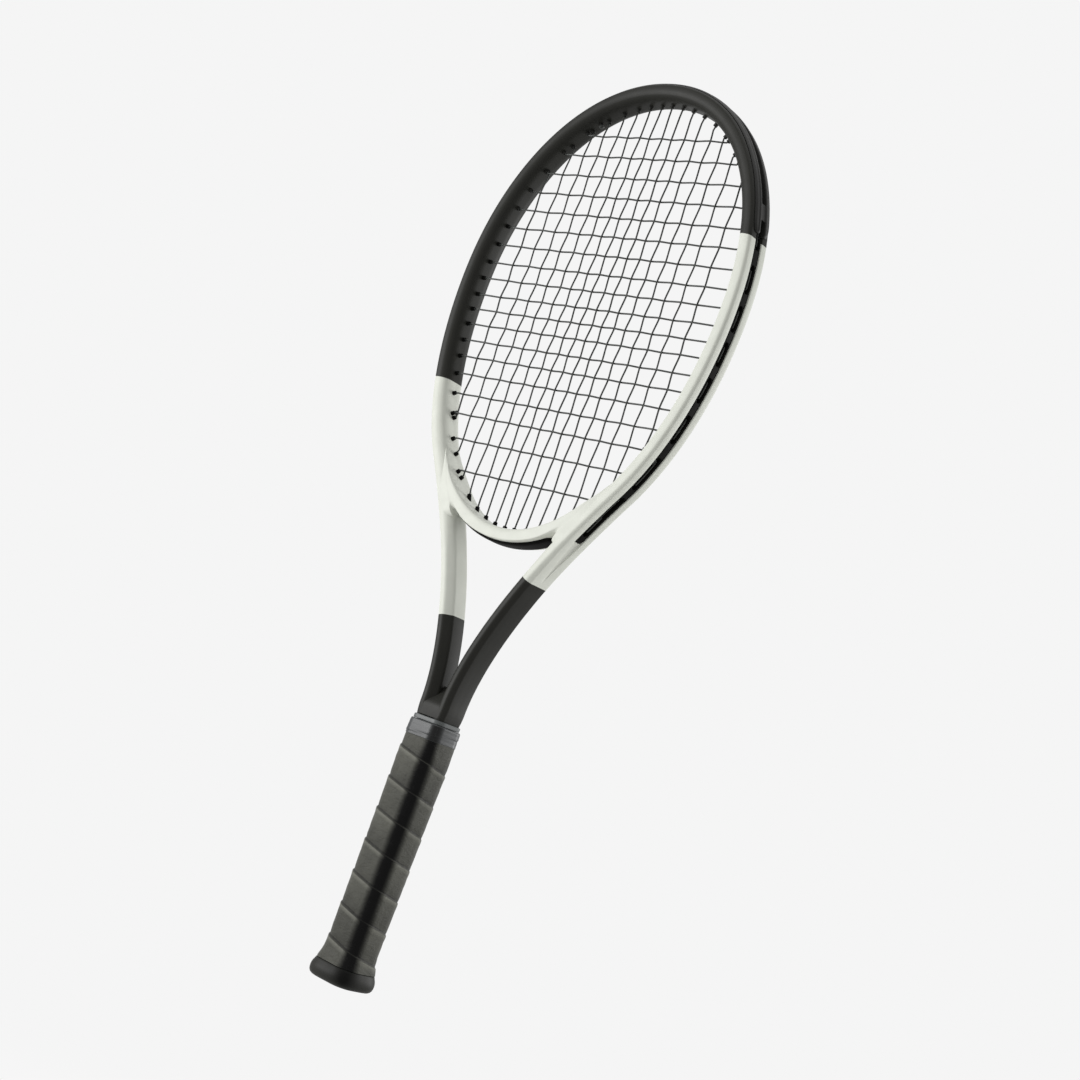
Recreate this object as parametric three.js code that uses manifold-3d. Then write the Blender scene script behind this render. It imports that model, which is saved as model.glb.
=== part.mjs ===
// A strung 27 inch tennis racket, standing on its butt.
// The origin is the middle of the butt end, +Z runs to the tip, +X across the head, and the strings lie in Y = 0.
import * as THREE from "three";
import { mergeVertices } from "three/addons/utils/BufferGeometryUtils.js";
import Module from "manifold-3d";

const wasm = await Module();
wasm.setup();

// Head, measured inside the tube
const racketLength = 685;
const headLength = 337.7;
const headWidth = 239.4;
const widestShare = 0.548; // height of the widest place, as a share of the head's length
const crownPowerShare = 2.09; // above the widest place the outline is the superellipse of this power
const throatPowerShare = 2.05; // and below it of this one
const shaftStartShare = 0.768; // half turns from the tip to where a shaft leaves the head

// Moulded tube of the head and shafts
const tube = {
  thick: 12.2, // across the wall of the head, in the string plane
  shaftThick: 12.4,
  depth: 23, // front to back
  innerFlat: 11.6,
  innerBevel: 5.6,
  innerBevelRise: 1.9,
  outerBevel: 2.4,
};
const groove = { half: 3.2, depth: 3.4, flare: 0.2 };
const valley = { depth: 0.9, past: 24.9 }; // the groove's shallow end, this far below the head
const joinShare = 0.597777; // of the height of the head's lowest place, to where the two shafts run side by side
const shaftPullShares = { head: 0.4481, join: 0.42943 }; // of the throat's height
const shaft = { joinHalf: 2.2 }; // half the space between the shafts there
const yoke = { rise: 11.5, shoulderRise: 1.5, drop: 8, depth: 22.4, bite: 4 }; // from where the shafts meet
const handleTube = {
  neckDrop: 8.5,
  neckHalf: 13,
  neckDepth: 21.8,
  drop: 14.5, // from where the shafts meet to the straight tubes
  half: 11.6,
  depth: 18.4,
  innerHalf: 1.4,
  foot: 12,
};

// Bridge that closes the head between the shafts
const bridgeReachShare = 0.4612; // of half the head's width, to either end of the bridge
const bridge = {
  thick: 9.4,
  depth: 22.4,
  crown: 13.6, // flat width of its inner face, at the middle
  bevel: 3.2,
  rim: 0.9,
};

// Strings
const stringSize = 1.3;
const weave = 0.8; // each string's middle swings this far to either side of the string plane
const lane = 0.8; // the two strings' holes and outside runs keep this far to either side
const mainShares = [0.0456, 0.1334, 0.2243, 0.3227, 0.4284, 0.5341, 0.6516, 0.7832]; // of half the head width
const crossShares = [
  0.9186, 0.8691, 0.8202, 0.772, 0.7255, 0.6805, 0.6355, 0.5913, 0.5514, 0.5114, 0.4751, 0.4391, 0.3998,
  0.3617, 0.3204, 0.2742, 0.2286, 0.1723, 0.1036,
]; // of the head's length, from the throat
const bridgedMains = 5; // mains on each side of the middle that end at the bridge
const fanShare = 0.13; // the outermost of them exits this much nearer the middle than it enters
const knot = { size: 3.2, length: 3.4, tail: 1.7 };
const tieSpacing = { main: 6, firstCross: 12.9, lastCross: 4.4 }; // from the hole beside it to a tie-off hole

// Grommets and guards
const clearance = 0.3; // between pieces that touch on the real racket
const grommet = { size: 3.5, tipSize: 3, bore: 2.5, reach: 2.2, mouth: 0.8 };
const strip = { floor: 0.9, rise: 2.8, channelHalf: 1.75, foot: 9.3 }; // foot is above the head's lowest place
const guardEndShare = 0.70506; // of the head's length, from the throat
const guard = {
  half: 9.4,
  skin: 1.4,
  ridgeHalf: 4.8,
  ridgeRise: 0.5,
};
const throatStripShare = 0.38095; // of half the head's width, to either end of the strip
const throatStrip = { thick: 2.4, floor: 0.7, half: 10.4 };

// Handle
const handleFlat = 2; // the octagon's half depth is this much less than its half width
const cornerShare = 0.354; // leg of the octagon's corner, as a share of its half width
const pallet = { foot: 6, drop: 15, half: 14.9, topHalf: 13.9, taper: 16, split: 0.3, capHalf: 13.6 };
const cap = {
  footHalf: 19,
  edge: 1.2,
  rimHalf: 21.2,
  rimLow: 4,
  rimHigh: 8,
  shoulder: 12.4,
  shoulderHalf: 19.4,
  ledgeHalf: 18.2,
  sleeveFoot: 20,
  sleeveHalf: 14.9,
  sleeveTop: 27,
  floor: 2.2,
};
const door = { half: 12.6, deep: 9.6, corner: 4, recess: 0.5, thick: 1.5 };
const prong = { length: 3.2, wide: 5, thick: 1.2, inset: 0.8 };
const grip = {
  foot: 12.7,
  footHalf: 19.6,
  bend: 16,
  bendHalf: 18.5,
  settle: 26,
  half: 17.1,
  taper: 28,
  topHalf: 15.4,
  drop: 12.2, // from where the shafts meet to the tape's end
  pitch: 22.9,
};
const seam = { ridge: 0.3, valley: -0.35, crown: 0.15 };
const seamShares = [0, 0.07, 0.45]; // of the pitch: the ridge, the valley and the tape's crown
const finish = { wide: 11.3, thick: 0.35 };
const collar = { drop: 8.8, high: 3.1, wide: 14.7, deep: 12.6, corner: 3.8, wall: 1.2 };

const overrun = 6; // cutters run this far past what they cut
const headSteps = 17; // stations on each half of the head
const shaftSteps = 8;
const bridgeSteps = 5;
const cordSides = 5;
const boreSides = 5;
const halvings = 40; // of a range, to find a place in it
const nothing = 1e-6; // what is no nearer than this is apart

const headTop = racketLength - guard.skin - guard.ridgeRise - clearance - tube.thick;
const headBottom = headTop - headLength;
const halfWidth = headWidth / 2;
const widest = headBottom + headLength * widestShare;
const joinHeight = headBottom * joinShare;
const throatHeight = headBottom - joinHeight;
const bridgeReach = halfWidth * bridgeReachShare;
const gripTop = joinHeight - grip.drop;
const palletTop = joinHeight - pallet.drop;
const finishFoot = gripTop - finish.wide;

const paint = (color, roughness) => new THREE.MeshStandardMaterial({ color, roughness, metalness: 0 });
const finishes = {
  lacquer: paint(0xdcded6, 0.45),
  charcoal: paint(0x3b3b37, 0.55),
  nylon: paint(0x232421, 0.5),
  cord: paint(0x4a4a48, 0.4),
  leather: paint(0x35362f, 0.75),
  tape: paint(0x4b4c47, 0.6),
  rubber: paint(0x1d1d1c, 0.7),
  foam: paint(0x8f8a7c, 0.9),
};

// Solids from faces, and back
function solidOf(geometry) {
  const bare = new THREE.BufferGeometry();
  bare.setAttribute("position", geometry.getAttribute("position"));
  bare.setIndex(geometry.index);
  const merged = mergeVertices(bare, nothing * overrun);
  const vertProperties = merged.getAttribute("position").array;
  return new wasm.Manifold(new wasm.Mesh({ numProp: 3, vertProperties, triVerts: merged.index.array }));
}

function meshOf(name, solid, material) {
  const made = solid.getMesh();
  const geometry = new THREE.BufferGeometry();
  geometry.setAttribute("position", new THREE.BufferAttribute(made.vertProperties, made.numProp));
  geometry.setIndex(new THREE.BufferAttribute(made.triVerts, 1));
  geometry.computeVertexNormals();
  const mesh = new THREE.Mesh(geometry, material);
  mesh.name = name;
  return mesh;
}

const joined = (solids) => solids.reduce((whole, solid) => whole.add(solid));

// Joins rings of points into a closed skin. The rings turn counterclockwise, seen from the last one.
// The outline is a ring laid flat, whose triangles close both ends.
function loft(rings, outline) {
  const count = rings[0].length;
  const index = [];
  for (let i = 0; i + 1 < rings.length; i++) {
    for (let j = 0; j < count; j++) {
      const a = i * count + j;
      const b = i * count + ((j + 1) % count);
      index.push(a, b, b + count, a, b + count, a + count);
    }
  }
  const last = (rings.length - 1) * count;
  for (const [a, b, c] of THREE.ShapeUtils.triangulateShape(outline, [])) {
    index.push(c, b, a, last + a, last + b, last + c);
  }
  return solidOf(new THREE.BufferGeometry().setFromPoints(rings.flat()).setIndex(index));
}

const flat = (points) => points.map(([u, v]) => new THREE.Vector2(u, v));

// Stack of level outlines, each given as its height and its points in X and Y
function stack(levels) {
  const rings = levels.map(([z, outline]) => outline.map(([x, y]) => new THREE.Vector3(x, y, z)));
  return loft(rings, flat(levels[0][1]));
}

// A bar along X, of an outline in Y and Z
function crossbar(outline, half) {
  const ring = (x) => outline.map(([y, z]) => new THREE.Vector3(x, y, z));
  return loft([ring(-half), ring(half)], flat(outline));
}

function box([left, right], [front, back], [low, high]) {
  const geometry = new THREE.BoxGeometry(right - left, back - front, high - low);
  geometry.translate((left + right) / 2, (front + back) / 2, (low + high) / 2);
  return solidOf(geometry);
}

// A straight round bar between two points
function bar(from, to, size, endSize) {
  const way = new THREE.Vector3().subVectors(to, from);
  const geometry = new THREE.CylinderGeometry(endSize / 2, size / 2, way.length(), boreSides);
  const turn = new THREE.Quaternion().setFromUnitVectors(new THREE.Vector3(0, 1, 0), way.clone().normalize());
  geometry.applyQuaternion(turn);
  geometry.translate((from.x + to.x) / 2, (from.y + to.y) / 2, (from.z + to.z) / 2);
  return solidOf(geometry);
}

// Finds where a measure reaches a value, between two places on either side of it
function solve(measure, from, to, value) {
  let [low, high] = [from, to];
  const rising = measure(to) > measure(from);
  for (let i = 0; i < halvings; i++) {
    const middle = (low + high) / 2;
    if (measure(middle) < value === rising) low = middle;
    else high = middle;
  }
  return (low + high) / 2;
}

// Inside outline of the head: half turns run from the tip, towards +X
function headPoint(halfTurns) {
  const angle = halfTurns * Math.PI;
  const upper = Math.cos(angle) > 0;
  const height = upper ? headTop - widest : widest - headBottom;
  const power = upper ? crownPowerShare : throatPowerShare;
  const across = Math.abs(Math.sin(angle)) ** (2 / power);
  const along = Math.abs(Math.cos(angle)) ** (2 / power);
  const out = new THREE.Vector2(across ** (power - 1) / halfWidth, along ** (power - 1) / height).normalize();
  const up = Math.sign(Math.cos(angle));
  return {
    x: halfWidth * across,
    z: widest + up * height * along,
    outX: out.x,
    outZ: up * out.y,
    thick: tube.thick,
    depth: tube.depth,
  };
}

const mirrored = (station, side) => ({ ...station, x: station.x * side, outX: station.outX * side });

// A line of stations and its mirror image. Places on it are distances from the middle, positive towards the side.
function mirroredLine(stations, side) {
  let distance = 0;
  stations.forEach((station, i) => {
    if (i > 0) distance += Math.hypot(station.x - stations[i - 1].x, station.z - stations[i - 1].z);
    station.distance = distance;
  });
  const at = (place) => {
    const far = Math.min(Math.abs(place), distance);
    const next = stations.findIndex((station, i) => i > 0 && station.distance >= far - nothing);
    const [a, b] = [stations[next - 1], stations[next]];
    const share = (far - a.distance) / (b.distance - a.distance);
    const mixed = Object.keys(a).map((key) => [key, a[key] + (b[key] - a[key]) * share]);
    return mirrored(Object.fromEntries(mixed), place < 0 ? -side : side);
  };
  const places = stations.flatMap((station) => [station.distance, -station.distance]);
  const between = (low, high) => places.filter((place) => place > low + nothing && place < high - nothing);
  return { at, between, end: distance };
}

// Inner face of the head, of one shaft and of its tube in the handle
function tubeStations() {
  const stations = [];
  for (let i = 0; i <= headSteps; i++) stations.push(headPoint((shaftStartShare * i) / headSteps));
  const start = stations[headSteps];
  const headPull = throatHeight * shaftPullShares.head;
  const curve = new THREE.CubicBezierCurve(
    new THREE.Vector2(start.x, start.z),
    new THREE.Vector2(start.x + start.outZ * headPull, start.z - start.outX * headPull),
    new THREE.Vector2(shaft.joinHalf, joinHeight + throatHeight * shaftPullShares.join),
    new THREE.Vector2(shaft.joinHalf, joinHeight),
  );
  for (let i = 1; i <= shaftSteps; i++) {
    const share = i / shaftSteps;
    const point = curve.getPoint(share);
    const way = curve.getTangent(share);
    const thick = tube.thick + (tube.shaftThick - tube.thick) * share;
    stations.push({ x: point.x, z: point.y, outX: -way.y, outZ: way.x, thick, depth: tube.depth });
  }
  const inside = { x: handleTube.innerHalf, outX: 1, outZ: 0 };
  const neckThick = handleTube.neckHalf - handleTube.innerHalf;
  const thick = handleTube.half - handleTube.innerHalf;
  stations.push({ ...inside, z: joinHeight - handleTube.neckDrop, thick: neckThick, depth: handleTube.neckDepth });
  stations.push({ ...inside, z: joinHeight - handleTube.drop, thick, depth: handleTube.depth });
  stations.push({ ...inside, z: handleTube.foot, thick, depth: handleTube.depth });
  return stations;
}

function bridgeStations() {
  const step = (1 - shaftStartShare) / bridgeSteps;
  return [...Array(bridgeSteps + 1).keys()].map((i) => headPoint(1 - step * i));
}

const tubeLine = mirroredLine(tubeStations(), -1);
const bridgeLine = mirroredLine(bridgeStations(), 1);

// A section's points are [distance out from the line, Y]
const onSection = (station, [out, y]) =>
  new THREE.Vector3(station.x + station.outX * out, y, station.z + station.outZ * out);

function sweep(line, from, to, section, extraPlaces = []) {
  const extra = extraPlaces.filter((place) => place > from && place < to);
  const places = [...new Set([from, to, ...line.between(from, to), ...extra])].sort((a, b) => a - b);
  const rings = places.map((place) => {
    const station = line.at(place);
    return section(station, place).map((point) => onSection(station, point));
  });
  return loft(rings, flat(section(line.at(0), 0)));
}

// Completes an outline whose given half is at negative Y
const bothHalves = (half) => [...half, ...half.toReversed().map(([out, y]) => [out, -y])];

const placeWhere = (line, from, to, measure, value) => solve((place) => measure(line.at(place)), from, to, value);
const heightAt = (out) => (station) => station.z + station.outZ * out;
const widthAt = (out) => (station) => Math.abs(station.x + station.outX * out);

const grooveFloor = tube.thick - groove.depth;
const stripBottom = grooveFloor + clearance;
const channelFloor = stripBottom + strip.floor;
const runHeight = channelFloor + clearance + stringSize / 2;
const mouthReach = grommet.reach + grommet.mouth;
const throatStripTop = bridge.thick + clearance;
const throatChannelFloor = throatStripTop + throatStrip.floor;
const throatRunHeight = throatChannelFloor + clearance + stringSize / 2;

const widestPlace = placeWhere(tubeLine, 0, tubeLine.end, (station) => station.outZ, 0);
const shaftPlace = solve((place) => tubeLine.at(place).z, widestPlace, tubeLine.end, headPoint(shaftStartShare).z);
const stripEnd = placeWhere(tubeLine, shaftPlace, tubeLine.end, heightAt(0), headBottom + strip.foot);
const valleyEnd = placeWhere(tubeLine, stripEnd, tubeLine.end, heightAt(0), headBottom - valley.past);
const guardEnd = placeWhere(tubeLine, 0, widestPlace, heightAt(0), headBottom + headLength * guardEndShare);

// A hole square to the head's tube. It has a mouth inside the head and an exit in the groove, at a place on its line.
function tubeHole(side, distance, y) {
  const place = -side * distance;
  const station = tubeLine.at(place);
  return {
    side,
    line: tubeLine,
    place,
    mouth: onSection(station, [-mouthReach, y]),
    exit: onSection(station, [runHeight, y]),
  };
}

// A hole square to the head's outline below the place where the shafts leave it, out to the shaft's groove
function shaftHole(side, measure, value, y) {
  const halfTurns = solve((share) => measure(headPoint(share)), shaftStartShare, 1, value);
  const entry = mirrored(headPoint(halfTurns), side);
  const mouth = onSection(entry, [-mouthReach, y]);
  const aside = (place) => {
    const point = onSection(tubeLine.at(-side * place), [runHeight, y]);
    return (point.x - mouth.x) * entry.outZ - (point.z - mouth.z) * entry.outX;
  };
  const place = -side * solve(aside, shaftPlace - overrun, tubeLine.end, 0);
  return { side, line: tubeLine, place, mouth, exit: onSection(tubeLine.at(place), [runHeight, y]) };
}

// A hole through the bridge, from a mouth at one width to an exit a little nearer the middle
function bridgeHole(side, x, y) {
  const halfTurns = solve((share) => headPoint(share).x, shaftStartShare, 1, x);
  const entry = mirrored(headPoint(halfTurns), side);
  const mouth = new THREE.Vector3(side * x, y, entry.z + mouthReach);
  const exitX = x * (1 - fanShare * (x / mainHalves[bridgedMains - 1]) ** 2);
  const place = side * placeWhere(bridgeLine, 0, bridgeLine.end, widthAt(throatRunHeight), exitX);
  return { side, line: bridgeLine, place, mouth, exit: onSection(bridgeLine.at(place), [throatRunHeight, y]) };
}

const mainHalves = mainShares.map((share) => share * halfWidth);
const sideMains = mainHalves.length;

// Mains are numbered from the -X side, and crosses from the tip
const mains = [...Array(2 * sideMains).keys()].map((i) => {
  const side = i < sideMains ? -1 : 1;
  const index = i < sideMains ? sideMains - 1 - i : i - sideMains;
  const x = mainHalves[index];
  const y = -side * lane;
  const inner = widthAt(-mouthReach);
  const top = tubeHole(side, placeWhere(tubeLine, 0, widestPlace, inner, x), y);
  let bottom;
  if (index < bridgedMains) bottom = bridgeHole(side, x, y);
  else if (index < sideMains - 1) bottom = shaftHole(side, inner, x, y);
  else bottom = tubeHole(side, placeWhere(tubeLine, widestPlace, shaftPlace, inner, x), y);
  return { x: side * x, top, bottom };
});

const crosses = crossShares.map((share) => {
  const z = headBottom + share * headLength;
  const inner = heightAt(-mouthReach);
  const range = z > widest ? [0, widestPlace] : [widestPlace, shaftPlace];
  const low = z < inner(headPoint(shaftStartShare));
  const hole = (side) =>
    low ? shaftHole(side, inner, z, side * lane) : tubeHole(side, placeWhere(tubeLine, ...range, inner, z), side * lane);
  return { z, left: hole(-1), right: hole(1) };
});

// Holes that the strings' ends are tied off in
const [firstMain, lastMain] = [mains[0], mains[mains.length - 1]];
const [firstCross, lastCross] = [crosses[0], crosses[crosses.length - 1]];
const mainTies = [firstMain.bottom, lastMain.bottom].map((hole) =>
  tubeHole(hole.side, Math.abs(hole.place) + tieSpacing.main, hole.mouth.y),
);
const crossTies = [
  tubeHole(-1, Math.abs(firstCross.left.place) - tieSpacing.firstCross, -lane),
  shaftHole(1, widthAt(0), mainHalves[bridgedMains] - tieSpacing.lastCross, lane),
];

// Outside runs: each joins two holes
const mainRuns = [[mainTies[0], firstMain.bottom]];
for (let i = 0; i + 1 < mains.length; i++) {
  const end = i % 2 ? "bottom" : "top";
  mainRuns.push([mains[i][end], mains[i + 1][end]]);
}
mainRuns.push([lastMain.bottom, mainTies[1]]);
const crossRuns = [[crossTies[0], firstCross.left]];
for (let i = 0; i + 1 < crosses.length; i++) {
  const end = i % 2 ? "left" : "right";
  crossRuns.push([crosses[i][end], crosses[i + 1][end]]);
}
crossRuns.push([lastCross.right, crossTies[1]]);

const spanOf = ([a, b]) => [Math.min(a.place, b.place), Math.max(a.place, b.place)];

function runPoints([a, b]) {
  const [low, high] = spanOf([a, b]);
  const out = a.line === bridgeLine ? throatRunHeight : runHeight;
  const bends = a.line.between(low + 2 * stringSize, high - 2 * stringSize).sort((p, q) => p - q);
  if (a.place > b.place) bends.reverse();
  const points = [...new Set(bends)].map((place) => {
    const share = (place - a.place) / (b.place - a.place);
    return onSection(a.line.at(place), [out, a.exit.y + (b.exit.y - a.exit.y) * share]);
  });
  return [a.exit, ...points, b.exit];
}

// A round cord through points: each length of it is a prism, mitred into the next
function cord(points) {
  const ways = points.slice(1).map((point, i) => new THREE.Vector3().subVectors(point, points[i]).normalize());
  const first = new THREE.Vector3(0, 1, 0).cross(ways[0]).normalize();
  const second = new THREE.Vector3().crossVectors(ways[0], first);
  const turns = [...Array(cordSides).keys()].map((k) => (2 * Math.PI * k) / cordSides);
  const circle = turns.map((turn) => [(Math.cos(turn) * stringSize) / 2, (Math.sin(turn) * stringSize) / 2]);
  let ring = circle.map(([u, v]) => points[0].clone().addScaledVector(first, u).addScaledVector(second, v));
  const rings = [ring];
  for (let i = 1; i < points.length; i++) {
    const way = ways[i - 1];
    const next = ways[i] ?? way;
    const across = new THREE.Vector3().addVectors(way, next).normalize();
    ring = ring.map((point) => {
      const gap = new THREE.Vector3().subVectors(points[i], point).dot(across) / way.dot(across);
      return point.clone().addScaledVector(way, gap);
    });
    rings.push(ring);
  }
  return loft(rings, flat(circle));
}

const towards = (from, to, distance) =>
  from.clone().addScaledVector(new THREE.Vector3().subVectors(to, from).normalize(), distance);

// The knot that ends a string just inside its last hole, and the end of its tail
function tiedIn(hole) {
  const start = towards(hole.mouth, hole.exit, grommet.mouth - clearance);
  const end = towards(start, hole.exit, -knot.length);
  return { solid: bar(start, end, knot.size, knot.size), tail: towards(end, hole.exit, -knot.tail) };
}

// A whole string: from its first knot through every span and outside run to its last knot
function wovenString(ties, runs, spans) {
  const [first, last] = ties.map(tiedIn);
  const points = [first.tail, ...runPoints(runs[0])];
  spans.forEach(({ from, crossings, to }, i) => {
    points.push(from.mouth, ...crossings, to.mouth, ...runPoints(runs[i + 1]));
  });
  points.push(last.tail);
  return joined([cord(points), first.solid, last.solid]);
}

const swing = (i, j) => ((i + j) % 2 ? -weave : weave); // where the main lies at a crossing

function mainString() {
  const spans = mains.map((main, i) => {
    const met = crosses.map((cross, j) => new THREE.Vector3(main.x, swing(i, j), cross.z));
    const crossings = met.filter((point) => point.z < main.top.mouth.z && point.z > main.bottom.mouth.z);
    if (i % 2) return { from: main.top, crossings, to: main.bottom };
    return { from: main.bottom, crossings: crossings.reverse(), to: main.top };
  });
  return wovenString(mainTies, mainRuns, spans);
}

function crossString() {
  const spans = crosses.map((cross, j) => {
    const met = mains.map((main, i) => new THREE.Vector3(main.x, -swing(i, j), cross.z));
    const crossings = met.filter((point) => Math.abs(point.x) < cross.right.mouth.x);
    if (j % 2) return { from: cross.right, crossings: crossings.reverse(), to: cross.left };
    return { from: cross.left, crossings, to: cross.right };
  });
  return wovenString(crossTies, crossRuns, spans);
}

const holes = [
  ...mains.flatMap((main) => [main.top, main.bottom]),
  ...crosses.flatMap((cross) => [cross.left, cross.right]),
  ...mainTies,
  ...crossTies,
];
const bridgeHoles = holes.filter((hole) => hole.line === bridgeLine);
const tubeHolesWithin = (low, high) =>
  holes.filter((hole) => hole.line === tubeLine && hole.place > low && hole.place < high);

function drilled(solid, list, size) {
  const bores = list.map((hole) =>
    bar(towards(hole.exit, hole.mouth, -overrun), towards(hole.mouth, hole.exit, -overrun), size, size),
  );
  return solid.subtract(joined(bores));
}
const drilledForGrommets = (solid, list) => drilled(solid, list, grommet.size + 2 * clearance);

// The tube's section, which a clearance can widen all round
function tubeSection(station, place, wider = 0) {
  const outer = station.thick + wider;
  const half = station.depth / 2 + wider;
  const distance = Math.abs(place);
  const valleyShare = Math.max(0, (valleyEnd - distance) / (valleyEnd - stripEnd));
  const shallow = outer - valley.depth * valleyShare;
  const floor = distance < stripEnd + clearance + nothing ? grooveFloor : shallow;
  return bothHalves([
    [-wider, -tube.innerFlat / 2],
    [tube.innerBevelRise - wider, -half + tube.innerBevelRise],
    [tube.innerBevel, -half],
    [outer - tube.outerBevel, -half],
    [outer, -half + tube.outerBevel],
    [outer, -groove.half],
    [floor, -groove.half + groove.flare],
  ]);
}

// The bridge's section, which turns into the tube's inner face towards the shafts
function bridgeSection(station, place) {
  const share = Math.abs(place) / bridgeLine.end;
  const mixed = (middle, end) => middle + (end - middle) * share;
  const half = bridge.depth / 2;
  const thick = bridge.thick - (bridge.thick - grooveFloor + clearance) * share ** 4;
  return bothHalves([
    [0, -mixed(bridge.crown, tube.innerFlat) / 2],
    [tube.innerBevelRise * share, -half + mixed(bridge.bevel / 2, tube.innerBevelRise)],
    [mixed(bridge.bevel, tube.innerBevel), -half],
    [thick - bridge.rim, -half],
    [thick, -half + bridge.rim],
  ]);
}

const wholeBridge = () => sweep(bridgeLine, -bridgeLine.end, bridgeLine.end, bridgeSection);
const everywhere = [-racketLength, racketLength];
const within = (half) => box([-half, half], everywhere, everywhere);

function frame() {
  const grooveEnds = [stripEnd + clearance, stripEnd + 2 * clearance, valleyEnd];
  const breaks = [...grooveEnds, ...grooveEnds.map((place) => -place)];
  const hairpin = sweep(tubeLine, -tubeLine.end, tubeLine.end, tubeSection, breaks);
  const depth = yoke.depth / 2;
  const roof = [
    [-depth, joinHeight - yoke.drop],
    [depth, joinHeight - yoke.drop],
    [depth, joinHeight + yoke.shoulderRise],
    [0, joinHeight + yoke.rise],
    [-depth, joinHeight + yoke.shoulderRise],
  ];
  const web = crossbar(roof, shaft.joinHalf + yoke.bite);
  const stubs = wholeBridge().subtract(within(bridgeReach + clearance));
  return drilledForGrommets(joined([hairpin, web, stubs]), holes);
}

// What the shafts fill, with a clearance round it
function shaftsAndClearance() {
  const wide = (station, place) => tubeSection(station, place, clearance);
  return sweep(tubeLine, shaftPlace, tubeLine.end, wide).add(sweep(tubeLine, -tubeLine.end, -shaftPlace, wide));
}

function throatBridge() {
  const span = wholeBridge().intersect(within(bridgeReach));
  return drilledForGrommets(span.subtract(shaftsAndClearance()), bridgeHoles);
}

// Opens the channel that each outside run lies in
function channelled(solid, line, floor, runs) {
  const cuts = runs.map((run) => {
    const [low, high] = spanOf(run);
    return sweep(line, low - grommet.bore, high + grommet.bore, () => [
      [floor, -strip.channelHalf],
      [floor + overrun, -strip.channelHalf],
      [floor + overrun, strip.channelHalf],
      [floor, strip.channelHalf],
    ]);
  });
  return solid.subtract(joined(cuts));
}

// Adds a barrel to a strip's body at each of its holes
function withBarrels(body, own) {
  const barrels = own.map((hole) => {
    const foot = towards(hole.exit, hole.mouth, stringSize);
    return bar(foot, towards(hole.mouth, hole.exit, grommet.mouth), grommet.size, grommet.tipSize);
  });
  return joined([body, ...barrels]);
}

function sideStrip(side) {
  const [low, high] = [-side * stripEnd, -side * (guardEnd + clearance)].sort((a, b) => a - b);
  const half = groove.half - clearance;
  const top = stripBottom + strip.rise;
  const body = sweep(tubeLine, low, high, () => [
    [stripBottom, -half],
    [top, -half],
    [top, half],
    [stripBottom, half],
  ]);
  const runs = [...mainRuns, ...crossRuns].filter((run) => {
    const [start, end] = spanOf(run);
    return run[0].line === tubeLine && end > low && start < high;
  });
  const own = tubeHolesWithin(low, high);
  return drilled(channelled(withBarrels(body, own), tubeLine, channelFloor, runs), own, grommet.bore);
}

function bumperGuard() {
  const seat = tube.thick + clearance;
  const half = groove.half - clearance;
  const skin = seat + guard.skin;
  const ridge = skin + guard.ridgeRise;
  const section = bothHalves([
    [stripBottom, -half],
    [seat, -half],
    [seat, -guard.half],
    [skin, -guard.half + guard.skin],
    [skin, -guard.ridgeHalf],
    [ridge, -guard.ridgeHalf + guard.ridgeRise],
    [ridge, -strip.channelHalf - guard.ridgeRise],
    [channelFloor, -strip.channelHalf],
  ]);
  const body = sweep(tubeLine, -guardEnd, guardEnd, () => section);
  const own = tubeHolesWithin(-guardEnd, guardEnd);
  return drilled(withBarrels(body, own), own, grommet.bore);
}

function throatGrommets() {
  const place = placeWhere(bridgeLine, 0, bridgeLine.end, widthAt(throatStripTop), halfWidth * throatStripShare);
  const bottom = throatStripTop + throatStrip.thick;
  const body = sweep(bridgeLine, -place, place, () => [
    [throatStripTop, -throatStrip.half],
    [bottom, -throatStrip.half],
    [bottom, throatStrip.half],
    [throatStripTop, throatStrip.half],
  ]);
  const runs = mainRuns.filter(([hole]) => hole.line === bridgeLine);
  const whole = withBarrels(body.subtract(shaftsAndClearance()), bridgeHoles);
  return drilled(channelled(whole, bridgeLine, throatChannelFloor, runs), bridgeHoles, grommet.bore);
}

// An octagon in X and Y, counterclockwise from the +X side
function octagon(wide, deep, corner) {
  return [
    [wide, -deep + corner],
    [wide, deep - corner],
    [wide - corner, deep],
    [-wide + corner, deep],
    [-wide, deep - corner],
    [-wide, -deep + corner],
    [-wide + corner, -deep],
    [wide - corner, -deep],
  ];
}
const handleOctagon = (half) => octagon(half, half - handleFlat, half * cornerShare);
const handleStack = (levels) => stack(levels.map(([z, half]) => [z, handleOctagon(half)]));

const palletLevels = [
  [pallet.foot, pallet.capHalf],
  [cap.sleeveTop + clearance, pallet.capHalf],
  [cap.sleeveTop + 2 * clearance, pallet.half],
  [palletTop - pallet.taper, pallet.half],
  [palletTop, pallet.topHalf],
];

// One half of the moulded handle, pocketed for the tubes
function palletHalf(side) {
  const room = octagon(handleTube.half + clearance, handleTube.depth / 2 + clearance, tube.outerBevel);
  const pocket = stack([
    [pallet.foot - overrun, room],
    [palletTop + overrun, room],
  ]);
  const split = (side * pallet.split) / 2;
  const other = side > 0 ? [-racketLength, split] : [split, racketLength];
  return handleStack(palletLevels).subtract(pocket).subtract(box(everywhere, other, everywhere));
}

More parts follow.
